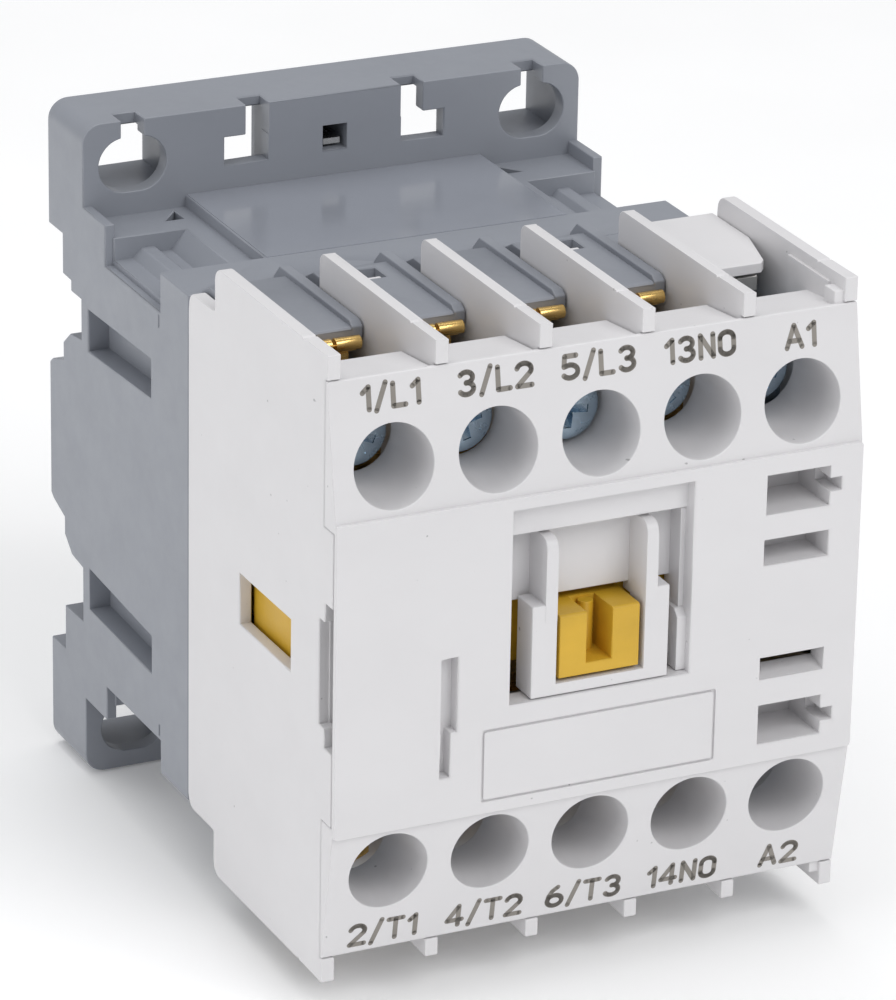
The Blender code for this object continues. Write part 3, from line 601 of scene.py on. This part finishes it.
def terminal_housing():
    outline = side_outline()
    body = prism("yz", outline, -HALF_W, -HALF_W + 1.1)
    join(body, prism("yz", outline, HALF_W - 1.1, HALF_W))
    for z0, z1 in both_signs(10.0, 11.2):
        join(body, box(-21.6, 21.6, -54.4, -34.9, z0, z1))
    for z0, z1 in both_signs(7.3, 21.2):
        join(body, box(-21.6, 21.6, -35.9, -34.9, z0, z1))
    for z0, z1 in both_signs(19.9, 21.0):
        join(body, box(-21.6, 13.3, -35.3, -30.9, z0, z1))
    r = 0.95
    fin = [(-34.7, 10.6), (-34.7, 25.95 - r)] + arc(-34.7 - r, 25.95 - r, r, 0, 90, 8)
    fin += [(-51.35, 25.95), (-51.45, 25.82), (-51.6, 25.82), (-51.7, 25.95), (-56.0, 26.0)]
    fin += [(-56.0, 24.0), (-55.5, 24.0), (-55.5, 10.6)]
    low = [(-34.7, -10.6), (-55.5, -10.6), (-55.5, -24.0), (-56.0, -24.0), (-56.0, -25.5), (-51.6, -25.45), (-35.65, -25.95), (-34.7, -25.0)]
    ridge = [(a, b - 0.1 if b > 25.9 else b) for a, b in fin]
    for x in FIN_X:
        join(body, prism("yz", fin, x - 0.55, x + 0.2))
        join(body, prism("yz", ridge, x + 0.1, x + 0.55))
        join(body, prism("yz", low, x - 0.55, x + 0.55))
    roof = [(13.62, -34.1), (13.62, -45.7), (14.0, -46.0), (19.4, -46.0), (19.9, -45.4), (21.3, -40.4), (21.3, -34.1)]
    for z0, z1 in both_signs(23.3, 24.2):
        join(body, prism("xy", roof, z0, z1))
    for s in (1, -1):
        z0, z1 = sorted((s * 20.5, s * 23.4))
        join(body, box(13.62, 21.5, -35.6, -34.2, z0, z1))
    for column in (POLES[1], POLES[3]):
        for s in (1, -1):
            z0, z1 = sorted((s * 19.9, s * 21.0))
            join(body, box(column - 1.0, column + 1.0, -35.3, -32.5, z0, z1))
            z0, z1 = sorted((s * 20.0, s * 22.45))
            join(body, box(column - 1.25, column + 1.15, -33.6, -32.9, z0, z1))
    for x0, x1 in both_signs(20.2, 21.6):
        join(body, box(x0, x1, -55.0, -53.8, -11.0, 11.0))
    join(body, box(-8.2, 8.2, -54.9, -53.8, 3.1, 10.6))
    # pilaster with a slot beside it, inside the right wall
    for z0, z1 in both_signs(23.0, 24.9):
        join(body, box(20.6, 21.6, -55.7, -54.0, z0, z1))
    for z0, z1 in both_signs(21.4, 25.0):
        join(body, box(21.15, 21.6, -53.6, -47.0, z0, z1))
    upright = [(-54.0, 2.2), (-57.95, 2.2), (-57.95, 8.2)] + arc(-57.05, 8.2, 0.9, 180, 90, 6)[1:] + [(-54.0, 9.1)]
    for x0, x1 in both_signs(3.8, 4.8):
        join(body, prism("yz", upright, x0, x1))
    u = [(-5.9, -4.05), (5.9, -4.05), (5.9, 3.65), (3.8, 3.65), (3.8, -3.1), (-3.8, -3.1), (-3.8, 3.65), (-5.9, 3.65)]
    join(body, prism("xz", u, -57.92, -55.2))
    for column in POLES:
        for z0, z1 in both_signs(9.5, 11.8):
            cut(body, box(column - 2.95, column + 2.95, -43.9, -41.4, z0, z1))
    for z0, z1 in both_signs(12.7, 14.7):
        cut(body, box(COIL_X - 2.0, COIL_X + 2.0, -36.5, -34.5, z0, z1))
    for z0, z1 in both_signs(9.6, 11.6):
        cut(body, box(13.1, 21.5, -55.6, -51.9, z0, z1))
    for x0, x1 in both_signs(20.9, 23.0):
        cut(body, box(x0, x1, -49.6, -39.75, -2.15, 2.15))
    finish_piece(body, "terminal_moulding", WHITE, "base", ["terminal_housing"], bevel=0.11)


# ================================================================== white front cover
def band_y(z):
    return -57.11 + 0.162 * (abs(z) - 16.82)


def front_cover():
    body = prism("xz", rounded(-HALF_W, HALF_W, -13.0, 13.0, 0.3, 3), -58.06, -57.45)
    join(body, box(-21.0, 21.0, -57.6, -55.9, -13.6, 13.6))
    band = [(band_y(12.2), 12.2), (band_y(23.9), 23.9), (-55.62, 23.9), (-55.62, 12.2)]
    for half in (band, mirror_z(band)):
        join(body, prism("yz", half, -HALF_W, HALF_W))
    for column in COLUMNS:
        x0 = -21.3 if column == COLUMNS[0] else column - 3.7
        x1 = 21.3 if column == COLUMNS[-1] else column + 3.7
        slab = [(-55.8, 12.6), (-55.8, 23.78), (-50.2, 23.12), (-49.75, 22.8), (-49.7, 22.0), (-49.7, 12.6)]
        join(body, prism("yz", slab, x0, x1))
        join(body, prism("yz", mirror_z(slab), x0, x1))
    for column in COLUMNS:
        for s in (1, -1):
            cut(body, rod("y", column, s * SCREW_Z, -58.6, -49.2, 3.36, 3.08, steps=72))
    cut(body, box(-7.75, 7.75, -59.0, -55.0, -4.15, 9.4))
    cut(body, box(-7.75, 7.75, -59.0, -56.86, 9.2, 11.95))
    # label field: a hairline frame around a barely sunken plate
    cut(body, prism("xz", rounded(-10.05, 10.2, -12.0, -5.9, 0.2, 2), -59.0, -57.86))
    join(body, prism("xz", rounded(-9.85, 10.0, -11.8, -6.1, 0.15, 2), -58.2, -57.6))
    cut(body, box(-10.3, 10.4, -58.4, -58.06, -12.2, -5.7))
    cut(body, box(-13.65, -12.2, -59.0, -56.8, -5.6, 0.65))
    cut(body, box(-13.6, -12.75, -59.0, -56.8, -9.35, -5.4))
    for s in (1, -1):
        z0, z1 = sorted((s * 8.1, s * 11.4))
        cut(body, box(14.1, 19.65, -59.0, -55.0, z0, z1))
        z0, z1 = sorted((s * 9.25, s * 10.35))
        cut(body, box(19.5, 20.7, -59.0, -55.0, z0, z1))
    cut(body, box(14.05, 19.7, -59.0, -55.0, 3.87, 6.0))
    wedge = [(-59.0, -5.85), (-59.0, -4.0), (-54.5, -4.0), (-54.5, -4.9), (-57.9, -5.85)]
    cut(body, prism("yz", wedge, 14.05, 19.7))
    # relief of the inner plate beside the accessory grooves
    for x0, x1 in both_signs(19.8, 21.3):
        cut(body, box(x0, x1, -57.35, -55.0, -11.9, 11.9))
    finish_piece(body, "cover_moulding", WHITE, "base", ["front_cover"], bevel=0.12)
    # walls of the deep window and its stepped right-hand wall
    wall = box(7.8, 8.7, -57.7, -54.0, -4.6, 9.9)
    join(wall, box(7.35, 7.95, -56.6, -54.1, 0.3, 9.3))
    join(wall, prism("yz", [(-57.3, -4.1), (-57.3, 0.4), (-56.7, 1.0), (-54.3, 1.0), (-54.3, -4.1)], 6.95, 7.95))
    finish_piece(wall, "window_wall_right", WHITE, "base", bevel=0.08)
    wall = box(-8.7, -7.8, -57.7, -54.0, -4.6, 9.9)
    finish_piece(wall, "window_wall_left", WHITE, "base", bevel=0.08)
    # lined tunnels behind the accessory slots
    for s, name in ((1, "upper"), (-1, "lower")):
        z0, z1 = sorted((s * 7.3, s * 12.1))
        liner = box(13.4, 21.35, -57.7, -52.2, z0, z1)
        z0, z1 = sorted((s * 8.1, s * 11.4))
        y0, y1 = sorted((s * 9.25, s * 10.35))
        cut(liner, box(14.05, 19.7, -58.5, -52.8, z0 - 0.05, z1 + 0.05), box(19.5, 20.75, -58.5, -55.3, y0 - 0.05, y1 + 0.05))
        finish_piece(liner, "slot_liner_" + name, WHITE, "base", bevel=0.08)
    liner = box(13.4, 20.6, -57.7, -53.7, 3.2, 6.7)
    cut(liner, box(14.0, 19.75, -58.5, -54.3, 3.82, 6.05))
    finish_piece(liner, "slot_liner_narrow", WHITE, "base", bevel=0.08)


# ================================================================== generic terminal marks
GLYPHS = {
    "1": (0.22, [[(0.0, 0.76), (0.22, 1.0), (0.22, 0.0)]]),
    "2": (0.54, [arc(0.27, 0.72, 0.27, 165, -30, 10) + [(0.0, 0.0), (0.54, 0.0)]]),
    "3": (0.54, [arc(0.26, 0.75, 0.245, 150, -90, 10) + arc(0.26, 0.26, 0.265, 90, -150, 10)]),
    "4": (0.56, [[(0.42, 0.0), (0.42, 1.0), (0.0, 0.27), (0.56, 0.27)]]),
    "5": (0.54, [[(0.5, 1.0), (0.08, 1.0), (0.04, 0.54)] + arc(0.26, 0.31, 0.29, 115, -145, 12)]),
    "6": (0.54, [arc(0.27, 0.29, 0.28, 0, 360, 18), [(0.0, 0.3), (0.03, 0.55), (0.16, 0.82), (0.36, 1.0)]]),
    "/": (0.36, [[(0.0, -0.1), (0.36, 1.1)]]),
    "L": (0.44, [[(0.0, 1.0), (0.0, 0.0), (0.44, 0.0)]]),
    "T": (0.54, [[(0.0, 1.0), (0.54, 1.0)], [(0.27, 1.0), (0.27, 0.0)]]),
    "N": (0.48, [[(0.0, 0.0), (0.0, 1.0), (0.48, 0.0), (0.48, 1.0)]]),
    "O": (0.52, [arc(0.26, 0.74, 0.26, 0, 180, 10) + arc(0.26, 0.26, 0.26, 180, 360, 10) + [(0.52, 0.74)]]),
    "A": (0.58, [[(0.0, 0.0), (0.29, 1.0), (0.58, 0.0)], [(0.1, 0.3), (0.48, 0.3)]]),
}


def stroke_line(bm, points, half):
    """A flat ribbon with round joints along a line of points, in the XZ plane."""
    for a, b in zip(points, points[1:]):
        along = Vector((b[0] - a[0], b[1] - a[1]))
        if along.length < 1e-6:
            continue
        side = Vector((-along.y, along.x)).normalized() * half
        bm.faces.new([bm.verts.new((u, 0.0, v)) for u, v in (
            (a[0] + side.x, a[1] + side.y), (a[0] - side.x, a[1] - side.y), (b[0] - side.x, b[1] - side.y), (b[0] + side.x, b[1] + side.y))])
    for u, v in points:
        bm.faces.new([bm.verts.new((u + half * cos(k * pi / 8), 0.0, v + half * sin(k * pi / 8))) for k in range(16)])


def mark(text, x, z, height=1.74, wide=1.3, gap=0.6, stroke=0.42):
    """Laser-marked terminal designation on the sloping band of the cover."""
    bm = bmesh.new()
    total = sum(GLYPHS[letter][0] * height * wide for letter in text) + gap * (len(text) - 1)
    at = -total / 2
    for letter in text:
        width, lines = GLYPHS[letter]
        for line in lines:
            stroke_line(bm, [(at + u * height * wide, (v - 0.5) * height) for u, v in line], stroke / 2)
        at += width * height * wide + gap
    for face in bm.faces:
        face.normal_update()
        if face.normal.y > 0:
            face.normal_flip()
    mesh = bpy.data.meshes.new("mark")
    bm.to_mesh(mesh)
    bm.free()
    slope = atan2(0.162, 1.0) * (1 if z > 0 else -1)
    mesh.transform(Matrix.Scale(MM, 4) @ Matrix.Translation(Vector((x, band_y(z) - 0.008, z))) @ Matrix.Rotation(-slope, 4, "X"))
    made = bpy.data.objects.new("mark_" + text.replace("/", "_").lower(), mesh)
    mesh.materials.append(MARK)
    bpy.context.scene.collection.objects.link(made)
    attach(made, "base")
    return made


def marks():
    for x, upper, lower in zip(COLUMNS, ("1/L1", "3/L2", "5/L3", "13NO", "A1"), ("2/T1", "4/T2", "6/T3", "14NO", "A2")):
        mark(upper, x, 22.25 if upper != "A1" else 21.95)
        mark(lower, x, -22.3)


# ================================================================== carrier and contacts
def contact_carrier():
    body = box(-21.1, 13.2, -53.4, -39.4, -2.7, 2.7)
    join(body, box(-20.4, 20.4, -40.2, -37.2, -2.6, 2.6))
    cut(body, box(13.2, 21.5, -41.5, -39.6, -3.0, 3.0))
    join(body, box(-7.0, 7.0, -38.0, -34.0, -2.7, 2.7), box(-3.0, 3.0, -36.4, -34.4, -6.5, 6.5))
    for z0, z1 in both_signs(5.3, 6.5):
        join(body, box(-3.0, 3.0, -36.2, -29.5, z0, z1))
    cut(body, rod("z", 0.0, -31.2, -7.5, 7.5, 1.3, steps=40))
    for column in POLES:
        cut(body, box(column - 2.2, column + 2.2, -52.2, -46.9, -4.0, 4.0))
    join(body, box(-3.45, 3.45, -57.75, -53.0, -2.8, 2.45))
    cut(body, box(-1.1, 1.1, -58.5, -54.4, -1.85, 3.0))
    join(body, rod("z", 0.1, -54.9, -1.95, 2.2, 0.62, steps=32))
    cut(body, box(-22.0, -20.3, -54.0, -46.9, -1.45, 3.0), box(-22.0, -20.8, -54.0, -46.9, -3.0, -1.4))
    # chamfer on the upper front edge of the head, and the lighter strip on the end face
    cut(body, prism("yz", [(-58.2, 2.1), (-58.2, 2.8), (-57.3, 2.8), (-57.55, 2.45), (-57.75, 2.3)], -4.0, 4.0))
    finish_piece(body, "carrier_moulding", YELLOW, "carrier", ["contact_carrier"], bevel=0.09)


def springs():
    for i, column in enumerate(POLES, 1):
        made = coil("contact_coil_%d" % i, column, -51.9, -48.4, 1.35, 0.2, 4.0, "carrier", "contact_spring_%d" % i)
        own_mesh(made)
    for x, side in ((-18.0, "left"), (18.0, "right")):
        made = coil("return_coil_" + side, x, -36.9, -21.0, 1.6, 0.24, 7.0, "base", "return_spring_" + side)
        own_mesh(made)


def coil(name, x, y0, y1, radius, wire, turns, body, stands_for):
    curve = bpy.data.curves.new(name, "CURVE")
    curve.dimensions = "3D"
    curve.bevel_depth = wire
    curve.bevel_resolution = 3
    curve.use_fill_caps = True
    line = curve.splines.new("POLY")
    per_turn = 32
    count = int(turns * per_turn)
    line.points.add(count)
    ends = 0.75
    lo, hi = y0 + wire, y1 - wire
    for i, spot in enumerate(line.points):
        t = turns * i / count
        if t < ends:
            level = lo + 2.2 * wire * t
        elif t > turns - ends:
            level = hi - 2.2 * wire * (turns - t)
        else:
            a, b = lo + 2.2 * wire * ends, hi - 2.2 * wire * ends
            level = a + (b - a) * (t - ends) / (turns - 2 * ends)
        angle = 2 * pi * t
        spot.co = (x + radius * cos(angle), level, radius * sin(angle), 1.0)
    obj = bpy.data.objects.new(name, curve)
    WORK.objects.link(obj)
    made = scratch(name, to_world_mesh(obj))
    return finish_piece(made, name, SPRING, body, [stands_for], smooth=1.2)


def contacts():
    for i, column in enumerate(POLES, 1):
        bridge = prism("yz", [(-48.1, -6.6), (-47.75, -6.6), (-47.2, -5.9), (-47.2, 5.9), (-47.75, 6.6), (-48.1, 6.6)], column - 1.6, column + 1.6)
        finish_piece(bridge, "bridge_strip_%d" % i, COPPER, "bridge_%d" % i, ["contact_bridge_%d" % i], bevel=0.12)
        for s in (1, -1):
            tip = rod("y", column, s * 5.3, -47.3, -46.6, 1.25, 1.05, steps=40)
            finish_piece(tip, "bridge_tip_%s_%d" % ("upper" if s > 0 else "lower", i), SILVER, "bridge_%d" % i, bevel=0.1)
            z0, z1 = sorted((s * 3.9, s * 21.0))
            label = "line" if s > 0 else "load"
            strip = box(column - 2.6, column + 2.6, -43.0, -41.8, z0, z1)
            cut(strip, rod("y", column, s * SCREW_Z, -44.0, -41.0, 1.95, steps=48))
            # clamping ribs across the strip under the saddle
            for k in range(5):
                z = s * (13.6 + 0.4 + k * 1.7)
                cut(strip, box(column - 3.0, column + 3.0, -43.3, -42.9, z - 0.2, z + 0.2))
            # the rolled end that shows in front of the shroud
            lip = rod("x", -44.08, s * 21.83, column - 2.95, column + 0.55, 0.55, steps=40)
            join(lip, rod("x", -44.08, s * 21.83, column + 0.85, column + 3.0, 0.55, steps=40))
            z0, z1 = sorted((s * 21.29, s * 21.9))
            join(lip, box(column - 2.6, column + 2.6, -44.3, -42.6, z0, z1))
            z0, z1 = sorted((s * 20.6, s * 21.6))
            join(lip, box(column - 2.4, column + 2.4, -42.9, -42.3, z0, z1))
            finish_piece(lip, "%s_lip_%d" % (label, i), BRASS, "base", bevel=0.1)
            finish_piece(strip, "%s_strip_%d" % (label, i), BRASS, "base", ["%s_contact_%d" % (label, i)], bevel=0.12)
            tip = rod("y", column, s * 5.3, -43.6, -42.9, 1.1, 1.3, steps=40)
            finish_piece(tip, "%s_tip_%d" % (label, i), SILVER, "base", bevel=0.1)
    for s, name in ((1, "a1"), (-1, "a2")):
        z0, z1 = sorted((s * 13.2, s * 21.0))
        strip = box(COIL_X - 2.6, COIL_X + 2.6, -43.0, -41.8, z0, z1)
        z0, z1 = sorted((s * 13.2, s * 14.2))
        join(strip, box(COIL_X - 1.5, COIL_X + 1.5, -42.4, -23.2, z0, z1))
        cut(strip, rod("y", COIL_X, s * SCREW_Z, -44.0, -41.0, 1.95, steps=48))
        z0, z1 = sorted((s * 21.29, s * 22.6))
        lip = box(COIL_X - 2.5, COIL_X + 2.5, -44.6, -43.4, z0, z1)
        z0, z1 = sorted((s * 21.35, s * 22.0))
        join(lip, box(COIL_X - 2.4, COIL_X + 2.4, -44.4, -42.6, z0, z1))
        z0, z1 = sorted((s * 20.6, s * 21.6))
        join(lip, box(COIL_X - 2.3, COIL_X + 2.3, -42.9, -42.3, z0, z1))
        finish_piece(lip, "coil_lip_" + name, SILVER, "base", bevel=0.14)
        finish_piece(strip, "coil_strip_" + name, ZINC, "base", ["coil_terminal_" + name], bevel=0.12)


# ================================================================== screws and clamps
def turned_mesh(name, profile, steps):
    bm = bmesh.new()
    spots = [bm.verts.new((r, 0.0, -y)) for r, y in profile]
    for a, b in zip(spots, spots[1:]):
        bm.edges.new((a, b))
    mesh = bpy.data.meshes.new(name)
    bm.to_mesh(mesh)
    bm.free()
    obj = scratch(name, mesh)
    spin = obj.modifiers.new("turn", "SCREW")
    spin.axis = "Z"
    spin.steps = steps
    spin.render_steps = steps
    spin.use_merge_vertices = True
    spin.merge_threshold = 1e-5
    mesh = evaluated_mesh(obj)
    obj.modifiers.clear()
    obj.data = mesh
    mesh.transform(Matrix.Rotation(pi / 2, 4, "X"))
    bm = bmesh.new()
    bm.from_mesh(mesh)
    bmesh.ops.recalc_face_normals(bm, faces=bm.faces)
    bm.to_mesh(mesh)
    bm.free()
    snapped(mesh)
    return obj


def cross_wing(turn):
    """One tapered wing pair of the cross recess."""
    bm = bmesh.new()
    rings = []
    for y, long, wide in ((-0.4, 1.66, 0.36), (0.15, 1.58, 0.33), (1.15, 0.72, 0.24), (1.35, 0.3, 0.18)):
        rings.append([bm.verts.new((sx * long, y, sz * wide)) for sx, sz in ((-1, -1), (1, -1), (1, 1), (-1, 1))])
    for a, b in zip(rings, rings[1:]):
        for k in range(4):
            bm.faces.new((a[k], a[(k + 1) % 4], b[(k + 1) % 4], b[k]))
    bm.faces.new(rings[0][::-1])
    bm.faces.new(rings[-1])
    bmesh.ops.recalc_face_normals(bm, faces=bm.faces)
    bmesh.ops.rotate(bm, cent=(0, 0, 0), matrix=Matrix.Rotation(turn, 3, "Y"), verts=bm.verts)
    mesh = bpy.data.meshes.new("wing")
    bm.to_mesh(mesh)
    bm.free()
    return scratch("wing", snapped(mesh))


SCREW_TURNS = {"upper": (0.35, -0.25, 0.1, 0.9, 0.3), "lower": (0.5, 0.15, 0.75, -0.2, 0.4)}
BACKED = {"upper": (3.8, 4.3, 5.1, 3.8, 3.6), "lower": (2.6, 1.6, 0.0, 0.0, 1.6)}


def screws():
    head_r, head_t, stem = 2.75, 1.9, 1.65
    profile = [(0.0, 0.0), (1.7, 0.02), (2.25, 0.1), (2.55, 0.28), (2.72, 0.55), (head_r, 0.8), (head_r, 1.65), (2.6, 1.84), (2.35, head_t), (stem, head_t)]
    y = head_t + 0.5
    profile.append((stem, y))
    while y < head_t + 7.3:
        profile += [(stem - 0.32, y + 0.2), (stem - 0.32, y + 0.28), (stem, y + 0.5), (stem, y + 0.6)]
        y += 0.6
    profile += [(stem - 0.35, y + 0.35), (0.9, head_t + 8.4), (0.0, head_t + 8.4)]
    steps = 48
    for row, sign in (("upper", 1), ("lower", -1)):
        for i, column in enumerate(COLUMNS):
            name = "%s_%d" % (row, i + 1)
            screw = turned_mesh("screw", profile, steps)
            turn = SCREW_TURNS[row][i]
            cut(screw, cross_wing(turn), cross_wing(turn + pi / 2))
            # the shallow diagonal ticks between the wings
            for k in (0.25, 0.75):
                tick = box(-1.75, 1.75, -0.3, 0.09, -0.07, 0.07)
                tick.data.transform(Matrix.Rotation(turn + k * pi, 4, "Y"))
                snapped(tick.data)
                cut(screw, tick)
            head = -46.5 - BACKED[row][i]
            where = Matrix.Translation(Vector((column, head, sign * SCREW_Z)) * MM)
            finish_piece(screw, "screw_" + name, ZINC, "screw_" + name, ["terminal_screw_" + name], smooth=0.55, place=where)
            crown = arc(0.0, -1.75, 6.1, 59.5, 120.5, 20)
            clamp = prism("xz", crown + [(-x, -z) for x, z in crown], 0.0, 1.0)
            cut(clamp, rod("y", 0.0, 0.0, -1.0, 3.0, 1.95, steps=48))
            for k in range(-1, 2):
                for side in (-1, 1):
                    z = side * 2.95 + k * 0.6
                    cut(clamp, box(-3.5, 3.5, 0.8, 1.4, z - 0.14, z + 0.14))
            gold = i < 4
            under = Matrix.Translation(Vector((column, head + head_t + 0.3, sign * SCREW_Z)) * MM)
            finish_piece(clamp, "clamp_" + name, BRASS if gold else ZINC, "clamp_" + name, ["saddle_clamp_" + name], bevel=0.14, place=under)


# ================================================================== nodes kept from the frame
def keep_frame_nodes():
    looks = {
        "coil_bobbin": (BLACK, 0.1), "coil_winding": (WINDING, 0.2), "fixed_core": (CORE, 0.1), "moving_core": (CORE, 0.1),
        "shading_ring_left": (COPPER, 0.08), "shading_ring_right": (COPPER, 0.08), "core_pad": (RUBBER, 0.15),
        "armature_pin": (SPRING, 0.12), "rail_latch_spring": (SPRING, 0.08),
    }
    for name, (mat, width) in looks.items():
        obj = NODES[name]
        obj.data.materials.clear()
        obj.data.materials.append(mat)
        soften(obj, width, weighted=False)


# ================================================================== camera, light, floor
def studio():
    scene = bpy.context.scene
    cam_data = bpy.data.cameras.new("camera")
    cam = bpy.data.objects.new("camera", cam_data)
    scene.collection.objects.link(cam)
    right = Vector((0.90384297, -0.42750788, 0.01746115))
    up = Vector((0.14731578, 0.3492531, 0.92537578))
    back = Vector((-0.4017038, -0.83382209, 0.37864862))
    place = Matrix((right, up, back)).transposed().to_4x4()
    place.translation = Vector((-0.192260, -0.429560, 0.182794))
    cam.matrix_world = place
    cam_data.lens = 213.043
    cam_data.sensor_width = 36.0
    cam_data.shift_x = -0.0009
    cam_data.shift_y = -0.0036
    cam_data.clip_start = 0.01
    cam_data.clip_end = 20.0
    scene.camera = cam
    scene.view_settings.view_transform = "Standard"
    scene.view_settings.look = "None"

    world = bpy.data.worlds.new("studio")
    world.use_nodes = True
    world.node_tree.nodes["Background"].inputs["Color"].default_value = (0.97, 0.98, 1.0, 1.0)
    world.node_tree.nodes["Background"].inputs["Strength"].default_value = 0.44
    scene.world = world

    def area(name, where, target, size, power, colour=(1, 1, 1)):
        data = bpy.data.lights.new(name, "AREA")
        data.shape = "RECTANGLE"
        data.size, data.size_y = size
        data.energy = power
        data.color = colour
        lamp = bpy.data.objects.new(name, data)
        scene.collection.objects.link(lamp)
        lamp.location = where
        lamp.rotation_euler = (Vector(target) - Vector(where)).to_track_quat("-Z", "Y").to_euler()
        return lamp

    area("key", (0.18, -0.62, 0.62), (0, -0.03, 0), (0.55, 0.45), 2.95)
    area("top", (-0.1, 0.12, 0.75), (0, -0.03, 0), (0.8, 0.6), 2.55)
    area("left", (-0.75, -0.15, 0.22), (0, -0.03, 0), (0.4, 0.5), 1.1)

    floor_mesh = bpy.data.meshes.new("floor")
    bm = bmesh.new()
    bmesh.ops.create_grid(bm, x_segments=1, y_segments=1, size=6.0)
    bm.to_mesh(floor_mesh)
    bm.free()
    floor = bpy.data.objects.new("floor", floor_mesh)
    floor.location.z = CAD_LO.z - 0.0002
    scene.collection.objects.link(floor)
    mat, tree, shader = new_material("floor")
    speck = noise(tree, 40.0, 2.0, 0.5)
    colours = ramp(tree, speck.outputs["Fac"], [(0.3, grey(0.93)), (0.7, grey(0.95))])
    tree.links.new(colours.outputs["Color"], shader.inputs["Base Color"])
    shader.inputs["Roughness"].default_value = 0.9
    shader.inputs["Emission Color"].default_value = (1.0, 1.0, 1.0, 1.0)
    shader.inputs["Emission Strength"].default_value = 0.1
    floor.data.materials.append(mat)


base_housing()
terminal_housing()
front_cover()
marks()
contact_carrier()
contacts()
springs()
screws()
keep_frame_nodes()
studio()

for leftover in list(WORK.objects):
    bpy.data.objects.remove(leftover, do_unlink=True)
bpy.data.collections.remove(WORK)
